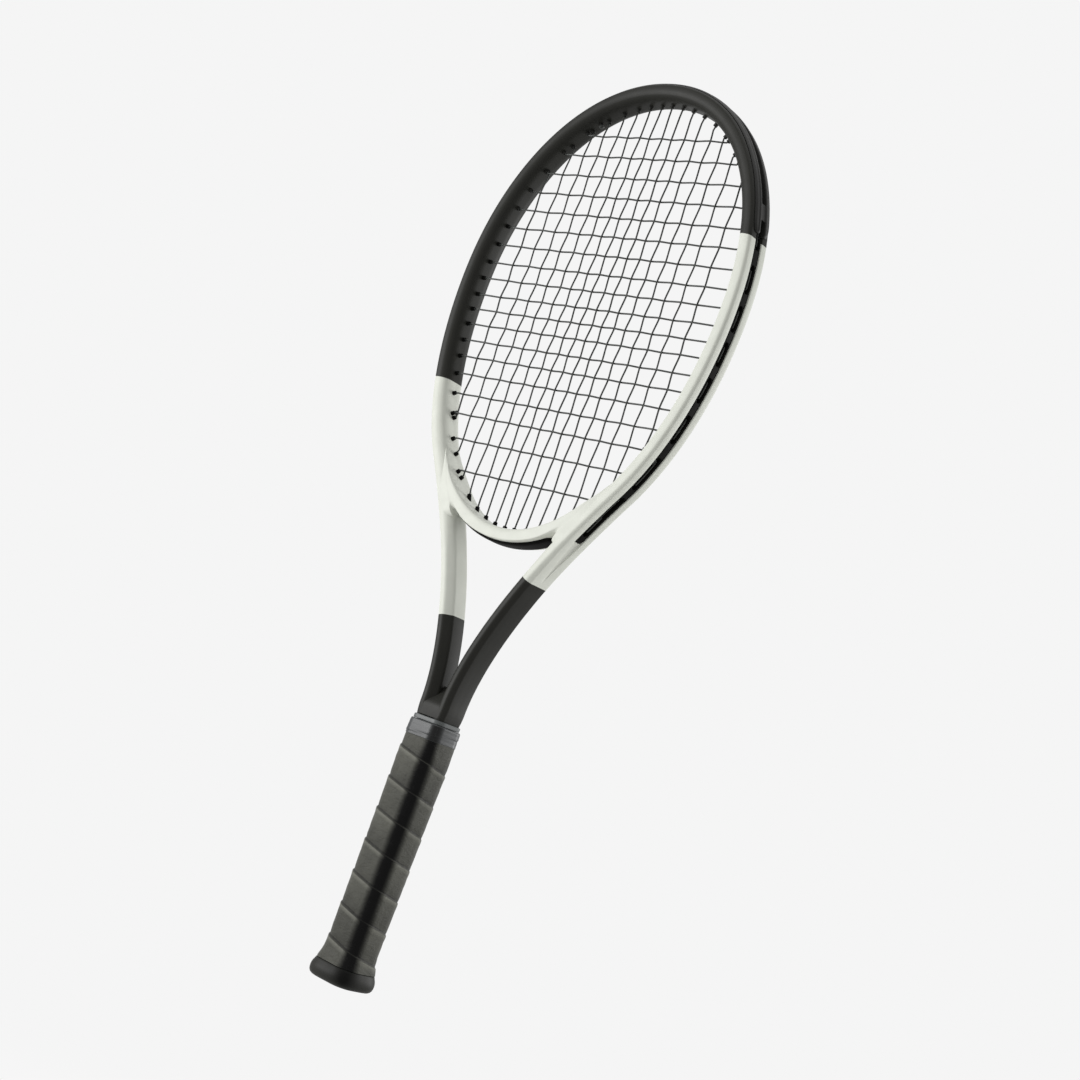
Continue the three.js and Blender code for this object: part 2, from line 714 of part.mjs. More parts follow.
function buttCap() {
  const body = handleStack([
    [0, cap.footHalf],
    [cap.edge, cap.footHalf + cap.edge],
    [cap.rimLow, cap.rimHalf],
    [cap.rimHigh, cap.rimHalf],
    [cap.shoulder, cap.shoulderHalf],
    [cap.shoulder + nothing * racketLength, cap.ledgeHalf],
    [cap.sleeveFoot, cap.sleeveHalf],
    [cap.sleeveTop, cap.sleeveHalf],
  ]);
  const bore = pallet.capHalf + clearance;
  const socket = handleStack([
    [cap.floor, bore],
    [cap.sleeveTop + overrun, bore],
  ]);
  const doorway = octagon(door.half + clearance, door.deep + clearance, door.corner);
  const opening = stack([
    [-overrun, doorway],
    [cap.floor + overrun, doorway],
  ]);
  return body.subtract(socket).subtract(opening);
}

// The trap door: a plate with a prong at each end, pressed into the cap
function capDoor() {
  const outline = octagon(door.half, door.deep, door.corner);
  const top = door.recess + door.thick;
  const plate = stack([
    [door.recess, outline],
    [top, outline],
  ]);
  const prongs = [-1, 1].map((side) => {
    const ends = [side * (door.half - prong.inset), side * (door.half - prong.inset - prong.thick)];
    const wide = [-prong.wide / 2, prong.wide / 2];
    return box(ends.sort((a, b) => a - b), wide, [top - door.thick / 2, top + prong.length]);
  });
  return joined([plate, ...prongs]);
}

// Half width of the wrapped grip at a height
function gripHalf(z) {
  const levels = [
    [grip.foot, grip.footHalf],
    [grip.bend, grip.bendHalf],
    [grip.settle, grip.half],
    [gripTop - grip.taper, grip.half],
    [gripTop, grip.topHalf],
  ];
  const next = Math.max(1, levels.findIndex(([height]) => height >= z));
  const end = z > gripTop ? levels.length - 1 : next;
  const [[low, from], [high, to]] = [levels[end - 1], levels[end]];
  const share = THREE.MathUtils.clamp((z - low) / (high - low), 0, 1);
  return from + (to - from) * share;
}

// Tape wound up the handle: each turn's lower edge lies on the turn below and stands proud of it
function woundTape() {
  const columns = flat(handleOctagon(grip.half));
  const lengths = columns.map((column, i) => column.distanceTo(columns[(i + 1) % columns.length]));
  const girth = lengths.reduce((sum, length) => sum + length);
  const rises = [seam.ridge, seam.valley, seam.crown];
  const turns = Math.ceil((gripTop - grip.foot) / grip.pitch) + 2;
  const steps = turns * seamShares.length;
  let travelled = 0;
  const points = columns.flatMap((column, i) => {
    const start = grip.foot + grip.pitch * (travelled / girth - 2);
    travelled += lengths[i];
    return [...Array(steps + 1).keys()].map((k) => {
      const kind = k % seamShares.length;
      const z = start + grip.pitch * (Math.floor(k / seamShares.length) + seamShares[kind]);
      const [x, y] = handleOctagon(gripHalf(z) + rises[kind])[i];
      return new THREE.Vector3(x, y, z);
    });
  });
  return { points, rows: steps + 1, columns: columns.length };
}

function gripTape() {
  const { points, rows, columns } = woundTape();
  const turn = seamShares.length;
  const index = [];
  const at = (column, row) => (column < columns ? column * rows + row : row + turn);
  const axis = points.length;
  const ends = [new THREE.Vector3(0, 0, points[0].z), new THREE.Vector3(0, 0, points[points.length - 1].z)];
  const lastRow = rows - 1 - turn;
  for (let i = 0; i < columns; i++) {
    for (let k = 0; k < lastRow; k++) {
      const [a, b] = [at(i, k), at(i + 1, k)];
      index.push(a, b, b + 1, a, b + 1, a + 1);
    }
    index.push(axis, at(i + 1, 0), at(i, 0), axis + 1, at(i, lastRow), at(i + 1, lastRow));
  }
  for (let k = 0; k < turn; k++) {
    index.push(axis, at(0, k), at(0, k + 1), axis + 1, at(0, lastRow + k + 1), at(0, lastRow + k));
  }
  const skin = solidOf(new THREE.BufferGeometry().setFromPoints([...points, ...ends]).setIndex(index));
  const finishStart = finishFoot - clearance;
  const room = handleStack([
    [grip.foot, cap.rimHalf],
    [finishStart, cap.rimHalf],
    [finishStart + nothing * racketLength, gripHalf(finishStart) - clearance],
    [gripTop, gripHalf(gripTop) - clearance],
  ]);
  const bore = handleStack([
    [grip.foot - overrun, cap.ledgeHalf + clearance],
    [cap.shoulder, cap.ledgeHalf + clearance],
    [cap.sleeveFoot, cap.sleeveHalf + clearance],
    [palletTop - pallet.taper, pallet.half + clearance],
    [palletTop, pallet.topHalf + clearance],
    [gripTop + overrun, pallet.topHalf + clearance],
  ]);
  return skin.intersect(room).subtract(bore);
}

function finishingTape() {
  const levels = (wider, past) => [
    [finishFoot - past, gripHalf(finishFoot) + wider],
    [gripTop + past, gripHalf(gripTop) + wider],
  ];
  return handleStack(levels(finish.thick, 0)).subtract(handleStack(levels(0, overrun)));
}

function gripCollar() {
  const top = joinHeight - collar.drop;
  const foot = top - collar.high;
  const outer = octagon(collar.wide, collar.deep, collar.corner);
  const inner = octagon(collar.wide - collar.wall, collar.deep - collar.wall, collar.corner - collar.wall / 2);
  const body = stack([
    [foot, outer],
    [top, outer],
  ]);
  const hole = stack([
    [foot - overrun, inner],
    [top + overrun, inner],
  ]);
  return body.subtract(hole);
}

const racket = new THREE.Group();
racket.add(
  meshOf("frame_hairpin", frame(), finishes.lacquer),
  meshOf("throat_bridge", throatBridge(), finishes.lacquer),
  meshOf("throat_strip", throatGrommets(), finishes.nylon),
  meshOf("side_strip_right", sideStrip(1), finishes.nylon),
  meshOf("side_strip_left", sideStrip(-1), finishes.nylon),
  meshOf("bumper_guard", bumperGuard(), finishes.charcoal),
  meshOf("main_string", mainString(), finishes.cord),
  meshOf("cross_string", crossString(), finishes.cord),
  meshOf("pallet_front", palletHalf(-1), finishes.foam),
  meshOf("pallet_back", palletHalf(1), finishes.foam),
  meshOf("butt_cap", buttCap(), finishes.rubber),
  meshOf("butt_cap_door", capDoor(), finishes.rubber),
  meshOf("grip_tape", gripTape(), finishes.leather),
  meshOf("finishing_tape", finishingTape(), finishes.tape),
  meshOf("grip_collar", gripCollar(), finishes.rubber),
);

export default racket;
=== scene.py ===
import math

from contextlib import contextmanager

import bpy
import numpy as np
from mathutils import Matrix, Vector


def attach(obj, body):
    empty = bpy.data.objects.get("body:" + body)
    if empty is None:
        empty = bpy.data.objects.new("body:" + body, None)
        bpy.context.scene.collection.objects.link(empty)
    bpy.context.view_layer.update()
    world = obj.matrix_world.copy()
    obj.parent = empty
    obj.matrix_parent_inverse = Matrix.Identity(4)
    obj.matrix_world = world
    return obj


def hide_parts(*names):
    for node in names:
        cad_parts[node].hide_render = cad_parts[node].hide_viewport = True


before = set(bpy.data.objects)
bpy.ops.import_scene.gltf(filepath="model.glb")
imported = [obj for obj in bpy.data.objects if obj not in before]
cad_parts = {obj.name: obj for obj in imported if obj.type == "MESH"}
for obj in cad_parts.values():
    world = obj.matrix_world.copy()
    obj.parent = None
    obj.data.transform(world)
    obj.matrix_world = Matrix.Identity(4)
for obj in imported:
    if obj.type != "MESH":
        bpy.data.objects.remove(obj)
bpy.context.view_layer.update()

mm = 0.001
scene = bpy.context.scene

# a dictionary whose values are also reached as names
class Sizes(dict):
    __getattr__ = dict.__getitem__


cameraSetup = Sizes(
    place=(887.76, -924.66, 186.74), turn=(99.0201, -20.109, 39.3112), lens=60.355, sensor=36,
    shift=(-0.02917, -0.04813), near=0.05, far=60,
)


def addCamera():
    data = bpy.data.cameras.new("studioCamera")
    camera = bpy.data.objects.new("studioCamera", data)
    scene.collection.objects.link(camera)
    camera.location = [value * mm for value in cameraSetup.place]
    camera.rotation_euler = [math.radians(value) for value in cameraSetup.turn]
    data.sensor_width = cameraSetup.sensor
    data.lens = cameraSetup.lens
    data.shift_x, data.shift_y = cameraSetup.shift
    data.clip_start, data.clip_end = cameraSetup.near, cameraSetup.far
    scene.camera = camera


addCamera()
print("camera placed")

# the lines that the moulded parts follow, in millimetres

head = Sizes(
    top=670.6, bottom=332.9, halfWidth=119.7, widestShare=0.548, crownPower=2.09, throatPower=2.05,
    shaftStart=0.768,  # half turns from the tip to where a shaft leaves the head
    stations=170,
)
tube = Sizes(
    thick=12.19, shaftThick=12.2, depth=23, grooveHalf=4.0, grooveFloor=8.0, valley=1.6, valleyEnd=308,
    stripEnd=342.2, shaftStations=70,
)
shafts = Sizes(joinHeight=199, joinHalf=2.2, headPull=60, joinPull=57.5)
handleTube = Sizes(
    inner=1.4,
    levels=(  # height, outer half width and depth of the tubes on their way into the handle
        (196.5, 14.28, 23), (193.5, 13.95, 22.9), (190.5, 13.5, 22.6), (184.5, 11.6, 18.4), (12, 11.6, 18.4),
    ),
)
guardEnd = 571
widest = head.bottom + (head.top - head.bottom) * head.widestShare
meshing = Sizes(
    weld=2e-6, cut=1e-7,  # in metres: how near points are joined, and how near a cut is met
    leastStep=0.04,  # between places along a line
    cornerShare=0.47,  # of an edge, the most that a round corner takes
)
# how finely a place on a line is looked for
search = Sizes(places=4000, turns=3000, before=6)


def runningSum(steps):
    return np.append(0, np.cumsum(steps))


def farAlong(points):
    return runningSum(np.linalg.norm(np.diff(points, axis=0), axis=1))


def bezier(points, share):
    last = len(points) - 1
    weights = [math.comb(last, i) * (1 - share) ** (last - i) * share**i for i in range(last + 1)]
    return sum(weight * point for weight, point in zip(weights, points))


def crossing(found, places):
    order = np.argsort(found)
    return float(np.interp(0, found[order], places[order]))


def headOutline(halfTurns):
    angle = np.asarray(halfTurns, float) * math.pi
    upper = np.cos(angle) > 0
    height = np.where(upper, head.top - widest, widest - head.bottom)
    power = np.where(upper, head.crownPower, head.throatPower)
    across = np.abs(np.sin(angle)) ** (2 / power)
    along = np.abs(np.cos(angle)) ** (2 / power)
    outX = across ** (power - 1) / head.halfWidth
    outZ = along ** (power - 1) / height
    size = np.hypot(outX, outZ)
    up = np.sign(np.cos(angle))
    return head.halfWidth * across, widest + up * height * along, outX / size, up * outZ / size


def lineOf(side, **columns):
    far = runningSum(np.hypot(np.diff(columns["x"]), np.diff(columns["z"])))
    return {"far": far, "side": side, "columns": columns}


def tubeHalf():
    x, z, outX, outZ = headOutline(np.linspace(0, head.shaftStart, head.stations + 1))
    way = np.array((outZ[-1], -outX[-1]))
    start = np.array((x[-1], z[-1]))
    last = np.array((shafts.joinHalf, shafts.joinHeight))
    knots = [start, start + way * shafts.headPull, last + (0, shafts.joinPull), last]
    share = np.linspace(0, 1, tube.shaftStations + 1)[1:, None]
    curve = bezier(knots, share)
    slope = bezier(np.diff(knots, axis=0), share)
    slope /= np.linalg.norm(slope, axis=1, keepdims=True)
    thinning = tube.thick + (tube.shaftThick - tube.thick) * share[:, 0]
    thick = np.append(np.full(x.shape, tube.thick), thinning)
    x, z = np.append(x, curve[:, 0]), np.append(z, curve[:, 1])
    outX, outZ = np.append(outX, -slope[:, 1]), np.append(outZ, slope[:, 0])
    rows = np.stack([x, z, outX, outZ, thick, np.full(x.shape, float(tube.depth))])
    inner = handleTube.inner
    ends = [(inner, height, 1, 0, half - inner, deep) for height, half, deep in handleTube.levels]
    columns = np.concatenate([rows, np.transpose(ends)], axis=1)
    return lineOf(-1, **dict(zip(("x", "z", "outX", "outZ", "thick", "depth"), columns)))


def bridgeHalf():
    x, z, outX, outZ = headOutline(np.linspace(1, head.shaftStart, 60))
    return lineOf(1, x=x, z=z, outX=outX, outZ=outZ)


tubeLine, bridgeLine = tubeHalf(), bridgeHalf()


def stationAt(line, place):
    place = np.asarray(place, float)
    found = {key: np.interp(np.abs(place), line["far"], column) for key, column in line["columns"].items()}
    sign = np.where(place < 0, -line["side"], line["side"])
    return {**found, "x": found["x"] * sign, "outX": found["outX"] * sign}


def onLine(line, place, out, y):
    at = stationAt(line, place)
    x, z = at["x"] + at["outX"] * out, at["z"] + at["outZ"] * out
    return np.stack(np.broadcast_arrays(x, y, z), axis=-1)


def placeWhere(line, low, high, measure, value):
    places = np.linspace(low, high, search.places)
    return crossing(measure(stationAt(line, places)) - value, places)


def heightAt(out):
    return lambda at: at["z"] + at["outZ"] * out


def widthAt(out):
    return lambda at: np.abs(at["x"] + at["outX"] * out)


lineEnd = float(tubeLine["far"][-1])
shaftPlace = float(tubeLine["far"][head.stations])
widestPlace = placeWhere(tubeLine, 0, shaftPlace, lambda at: at["outZ"], 0)
joinPlace = float(tubeLine["far"][head.stations + tube.shaftStations])
stripEnd = placeWhere(tubeLine, shaftPlace, joinPlace, heightAt(0), tube.stripEnd)
valleyEnd = placeWhere(tubeLine, stripEnd, joinPlace, heightAt(0), tube.valleyEnd)
guardPlace = placeWhere(tubeLine, 0, widestPlace, heightAt(0), guardEnd)

# holes and outside runs of the strings

strings = Sizes(
    size=1.3, swing=0.7, lane=0.8, mains=(0.0456, 0.1334, 0.2243, 0.3227, 0.4284, 0.5341, 0.6516, 0.7832),
    crosses=(
        0.9186, 0.8691, 0.8202, 0.772, 0.7255, 0.6805, 0.6355, 0.5913, 0.5514, 0.5114,
        0.4751, 0.4391, 0.3998, 0.3617, 0.3204, 0.2742, 0.2286, 0.1723, 0.1036,
    ),
    bridged=5, fan=0.13, mouth=3, run=9.8, throatRun=10.3, tieMain=6, tieFirst=12.9, tieLast=4.4,
)
mainHalves = [share * head.halfWidth for share in strings.mains]
runLines = {"tube": (tubeLine, strings.run), "bridge": (bridgeLine, strings.throatRun)}


def holeAt(side, kind, place, mouth):
    line, out = runLines[kind]
    leave = onLine(line, place, out, mouth[1])
    return {"side": side, "line": kind, "place": place, "mouth": mouth, "leave": leave}


def tubeHole(side, far, y):
    return holeAt(side, "tube", -side * far, onLine(tubeLine, -side * far, -strings.mouth, y))


def shaftHole(side, measure, value, y):
    turns = np.linspace(head.shaftStart, 1, search.turns)
    turn = crossing(measure(*headOutline(turns)) - value, turns)
    x, z, outX, outZ = (float(v) for v in headOutline(turn))
    reach = strings.mouth
    mouth = np.array((side * (x - outX * reach), y, z - outZ * reach))
    places = np.linspace(shaftPlace - search.before, joinPlace, search.places)
    groove = onLine(tubeLine, -side * places, strings.run, y)
    aside = (groove[:, 0] - mouth[0]) * outZ - (groove[:, 2] - mouth[2]) * outX * side
    return holeAt(side, "tube", -side * float(places[np.argmin(np.abs(aside))]), mouth)


def bridgeHole(side, x, y):
    across, heights, _, _ = headOutline(np.linspace(head.shaftStart, 1, search.turns))
    fanned = x * (1 - strings.fan * (x / mainHalves[strings.bridged - 1]) ** 2)
    place = placeWhere(bridgeLine, 0, bridgeLine["far"][-1], widthAt(strings.throatRun), fanned)
    mouth = np.array((side * x, y, crossing(across - x, heights) + strings.mouth))
    return holeAt(side, "bridge", side * place, mouth)


def findHoles():
    lane, reach = strings.lane, -strings.mouth
    count = len(mainHalves)
    mains = []
    for i in range(2 * count):
        side = -1 if i < count else 1
        index = count - 1 - i if i < count else i - count
        x, y = mainHalves[index], -side * lane
        top = tubeHole(side, placeWhere(tubeLine, 0, widestPlace, widthAt(reach), x), y)
        if index < strings.bridged:
            bottom = bridgeHole(side, x, y)
        elif index < count - 1:
            bottom = shaftHole(side, lambda px, pz, nx, nz: px + nx * reach, x, y)
        else:
            bottom = tubeHole(side, placeWhere(tubeLine, widestPlace, shaftPlace, widthAt(reach), x), y)
        mains.append({"at": side * x, "top": top, "bottom": bottom})
    crosses = []
    leaving = stationAt(tubeLine, shaftPlace)
    for share in strings.crosses:
        z = head.bottom + share * (head.top - head.bottom)
        ends = []
        for side in (-1, 1):
            if z < leaving["z"] + leaving["outZ"] * reach:
                ends.append(shaftHole(side, lambda px, pz, nx, nz: pz + nz * reach, z, side * lane))
                continue
            low, high = (0, widestPlace) if z > widest else (widestPlace, shaftPlace)
            ends.append(tubeHole(side, placeWhere(tubeLine, low, high, heightAt(reach), z), side * lane))
        crosses.append({"at": z, "left": ends[0], "right": ends[1]})
    return mains, crosses


mains, crosses = findHoles()


def sharedHole(hole, end):
    wanted = abs(hole["place"]) + strings.tieMain
    fars = [abs(cross[end]["place"]) for cross in crosses if cross[end]["line"] == "tube"]
    return tubeHole(hole["side"], min(fars, key=lambda far: abs(far - wanted)), hole["mouth"][1])


def runsOf(lines, ends, ties):
    runs = [(ties[0], lines[0][ends[0]])]
    for i in range(len(lines) - 1):
        end = ends[(i + 1) % 2]
        runs.append((lines[i][end], lines[i + 1][end]))
    return runs + [(lines[-1][ends[len(lines) % 2]], ties[1])]


mainTies = [sharedHole(mains[0]["bottom"], "left"), sharedHole(mains[-1]["bottom"], "right")]
crossTies = [
    tubeHole(-1, abs(crosses[0]["left"]["place"]) - strings.tieFirst, -strings.lane),
    shaftHole(1, lambda px, pz, nx, nz: px, mainHalves[strings.bridged] - strings.tieLast, strings.lane),
]
mainRuns = runsOf(mains, ("bottom", "top"), mainTies)
crossRuns = runsOf(crosses, ("left", "right"), crossTies)
allHoles = [hole[end] for hole in mains for end in ("top", "bottom")]
allHoles += [hole[end] for hole in crosses for end in ("left", "right")] + crossTies
print("string holes found:", len(allHoles))

# ways of working with meshes


def tidySelection():
    if bpy.context.object and bpy.context.object.mode != "OBJECT":
        bpy.ops.object.mode_set(mode="OBJECT")
    bpy.ops.object.select_all(action="DESELECT")


def take(*pieces):
    tidySelection()
    for piece in pieces:
        piece.select_set(True)
    bpy.context.view_layer.objects.active = pieces[0]


def smooth(piece, degrees=32):
    take(piece)
    bpy.ops.object.shade_smooth_by_angle(angle=math.radians(degrees))


def settle(piece):
    take(piece)
    bpy.ops.object.transform_apply(location=True, rotation=True, scale=True)


def joinAll(name, pieces):
    take(*pieces)
    if len(pieces) > 1:
        bpy.ops.object.join()
    joined = bpy.context.object
    joined.name = joined.data.name = name
    return joined


@contextmanager
def editing(kind=None):
    bpy.ops.object.mode_set(mode="EDIT")
    if kind:
        bpy.ops.mesh.select_mode(type=kind)
    yield
    bpy.ops.object.mode_set(mode="OBJECT")


def added(addPrimitive, **settings):
    tidySelection()
    addPrimitive(**settings)
    piece = bpy.context.object
    settle(piece)
    return piece


def turnOutward():
    bpy.ops.mesh.select_all(action="SELECT")
    bpy.ops.mesh.normals_make_consistent(inside=False)


def rounded(corners, radii, steps=4):
    corners = np.asarray(corners, float)
    radii = np.broadcast_to(np.asarray(radii, float), corners.shape[:-1])
    ends = []
    for way in (np.roll(corners, 1, -2) - corners, np.roll(corners, -1, -2) - corners):
        size = np.maximum(np.linalg.norm(way, axis=-1), 1e-9)
        ends.append(corners + way * (np.minimum(radii, meshing.cornerShare * size) / size)[..., None])
    curves = [bezier((ends[0], corners, ends[1]), t) for t in np.linspace(0, 1, steps)]
    loop = np.stack(curves, axis=-2).reshape(*corners.shape[:-2], -1, 2)
    return np.concatenate([loop, loop[..., :1, :]], axis=-2)  # the last point closes the loop


# a loop from its front half: rows of (out, y), each with the radius of its corner
def mirrored(rows, radii, steps=4):
    values = np.broadcast_arrays(*[value for row in rows for value in row])
    half = np.stack(values, axis=-1).reshape(*values[0].shape, len(rows), 2)
    radii = np.stack(np.broadcast_arrays(*radii), axis=-1)
    corners = np.concatenate([half, half[..., ::-1, :] * (1, -1)], axis=-2)
    return rounded(corners, np.concatenate([radii, radii[..., ::-1]], axis=-1), steps)


def wrapped(name, points, degrees=32, closed=True, along=None):
    rows, columns = points.shape[0] - 1, points.shape[1] - 1
    tidySelection()
    bpy.ops.mesh.primitive_grid_add(x_subdivisions=rows, y_subdivisions=columns, size=1)
    piece = bpy.context.object
    piece.name = piece.data.name = name
    mesh = piece.data
    places = np.empty(len(mesh.vertices) * 3)
    mesh.vertices.foreach_get("co", places)
    places = places.reshape(-1, 3)
    row = np.rint((places[:, 0] + 0.5) * rows).astype(int)
    column = np.rint((places[:, 1] + 0.5) * columns).astype(int)
    if along is None:
        along = runningSum(np.linalg.norm(np.diff(points, axis=0), axis=2).mean(axis=1))
    steps = np.linalg.norm(np.diff(points, axis=1), axis=2)
    around = np.concatenate([np.zeros((rows + 1, 1)), np.cumsum(steps, axis=1)], axis=1)
    mesh.vertices.foreach_set("co", (points[row, column] * mm).ravel())
    corner = np.empty(len(mesh.loops), int)
    mesh.loops.foreach_get("vertex_index", corner)
    pattern = np.stack([along[row], around[row, column]], axis=1) * mm
    mesh.uv_layers[0].data.foreach_set("uv", pattern[corner].ravel())
    with editing("VERT"):
        bpy.ops.mesh.select_all(action="SELECT")
        bpy.ops.mesh.remove_doubles(threshold=meshing.weld)
        if closed:
            bpy.ops.mesh.select_all(action="DESELECT")
            others = dict.fromkeys(("use_wire", "use_multi_face", "use_non_contiguous", "use_verts"), False)
            bpy.ops.mesh.select_non_manifold(extend=False, **others)
            bpy.ops.mesh.fill_holes(sides=0)
        turnOutward()
    smooth(piece, degrees)
    return piece


def swept(name, line, places, loops, degrees=32):
    at = stationAt(line, places)
    out, y = loops[..., 0], loops[..., 1]
    x = at["x"][:, None] + at["outX"][:, None] * out
    z = at["z"][:, None] + at["outZ"][:, None] * out
    return wrapped(name, np.stack([x, y, z], axis=-1), degrees)


def ramp(value, low, high):
    share = np.clip((np.asarray(value, float) - low) / (high - low), 0, 1)
    return share * share * (3 - 2 * share)


def roundEnd(distance, radius):
    share = np.clip(np.asarray(distance, float) / radius, 0, 1)
    return np.sqrt(np.maximum(1 - (1 - share) ** 2, 0))


# the moulded frame

moulding = Sizes(
    name="frameTube", corners=((0, 5.8, 3.0), (1.9, 9.6, 3.4), (5.6, 11.5, 3.0)),
    shaftCorners=((0, 6.2, 1.3), (2.7, 8.9, 1.0), (5.4, 11.5, 1.3)), outerBevel=1.6, shaftBevel=2.8,
    bevelRound=0.9, shaftRound=1.1,
    crisp=(20, 95),  # how far past the head the crisp facets of the shafts set in and are whole
    grooveRound=0.5, grooveSlope=0.2, leastGroove=0.25, endRows=(-0.3, 0, 0.05, 0.4),
)


def tubeLoops(places):
    at = stationAt(tubeLine, places)
    far = np.abs(places)
    outer, half = at["thick"], at["depth"] / 2
    leftOver = (valleyEnd - far) / (valleyEnd - stripEnd)
    floor = np.where(far < stripEnd, tube.grooveFloor, outer - tube.valley * np.clip(leftOver, 0, 1))
    wide = tube.grooveHalf * np.where(far < stripEnd, 1, np.clip(leftOver, moulding.leastGroove, 1))
    crisp = ramp(far, *(shaftPlace + past for past in moulding.crisp))
    bevel = moulding.outerBevel + (moulding.shaftBevel - moulding.outerBevel) * crisp
    edge = moulding.bevelRound + (moulding.shaftRound - moulding.bevelRound) * crisp
    rows = []
    radii = []
    for first, second in zip(moulding.corners, moulding.shaftCorners):
        out, y, radius = (a + (b - a) * crisp for a, b in zip(first, second))
        rows.append((out, -half + (tube.depth / 2 - y)))
        radii.append(radius)
    rows += [(outer - bevel, -half), (outer, -half + bevel), (outer, -wide)]
    rows.append((floor, -wide + moulding.grooveSlope))
    return mirrored(rows, radii + [edge, edge, moulding.grooveRound, moulding.grooveRound])


def linePlaces(low, high, extra=(), step=1.1):
    places = np.concatenate([np.linspace(low, high, int((high - low) / step) + 2), np.asarray(extra, float)])
    places = np.unique(np.round(places[(places >= low) & (places <= high)], 3))
    return places[np.append(True, np.diff(places) > meshing.leastStep)]


def bothWays(values):
    return [sign * value for value in values for sign in (1, -1)]


def makeFrame():
    ends = [stripEnd + past for past in moulding.endRows] + [valleyEnd]
    ends += list(tubeLine["far"][-len(handleTube.levels) - 1 :])
    places = linePlaces(-lineEnd, lineEnd, bothWays(ends))
    return swept(moulding.name, tubeLine, places, tubeLoops(places))


yoke = Sizes(
    foot=190.8, shoulder=200.5, ridge=215.0, half=11.46, reach=9.8, rows=30, rounds=(0.4, 0.4, 3, 1.6, 3),
    steps=8,
)


def makeYoke():
    half, foot, shoulder = yoke.half, yoke.foot, yoke.shoulder
    corners = [(-half, foot), (half, foot), (half, shoulder), (0, yoke.ridge), (-half, shoulder)]
    loop = rounded(corners, yoke.rounds, yoke.steps)
    across = np.linspace(-yoke.reach, yoke.reach, yoke.rows)[:, None]
    return wrapped("yoke", np.stack(np.broadcast_arrays(across, loop[:, 0], loop[:, 1]), axis=-1))


bridge = Sizes(  # a pair of lengths is the one in the middle and the one at the shafts
    thick=9.4, half=(11.2, 11.46), crown=(6.8, 5.8),
    edges=((0.5, 1.9, 0.16), (3.2, 5.6, 0.45)),  # two lengths, and the least share of the height at the ends
    drop=(1.6, 1.9, 0.6), rim=(0.9, 5.6), rimCut=0.34, rounds=(3.0, 5.0, 8.0, 2.4, 1.2, 2.4), fillet=11,
    filletSink=0.35, filletRows=30, rows=150, spread=(0.35, 0.95), late=(0.7, 1.0),
    turned=(2.4, 0.2),  # in fillets from the end
    buried=(0.9, 1.0), buriedBy=0.8, past=0.02, probes=(800, 1500, 3), sinks=(2, 4, 6, 8.4),
    sinkShare=(0.6, 0.3),
)


def pointAt(far, points, place):
    return np.stack([np.interp(place, far, points[:, k]) for k in (0, 1)], axis=-1)


# the underside of half the bridge, down to its fillet on the shaft, and the way out of the shaft there
def bridgeUnderside(outline):
    x, z, outX, outZ = outline
    under = np.stack([x + outX * bridge.thick, z + outZ * bridge.thick], axis=1)
    _, count, skip = bridge.probes
    places = np.linspace(shaftPlace, joinPlace, count)
    at = stationAt(tubeLine, -places)
    inner, outward = (np.stack([at[k] for k in keys], axis=1) for keys in (("x", "z"), ("outX", "outZ")))
    gaps = np.linalg.norm(under[:, None] - inner[None, ::skip], axis=2)
    meet, touch = np.unravel_index(np.argmin(gaps), gaps.shape)
    far = farAlong(under)
    innerFar = places - places[touch * skip]
    start = pointAt(far, under, far[meet] - bridge.fillet)
    normal = pointAt(innerFar, outward, bridge.fillet)
    finish = pointAt(innerFar, inner, bridge.fillet) + normal * bridge.filletSink
    share = np.linspace(0, 1, bridge.filletRows)[1:, None]
    fillet = bezier((start, under[meet], finish), share)
    return np.concatenate([under[far < far[meet] - bridge.fillet], fillet]), normal


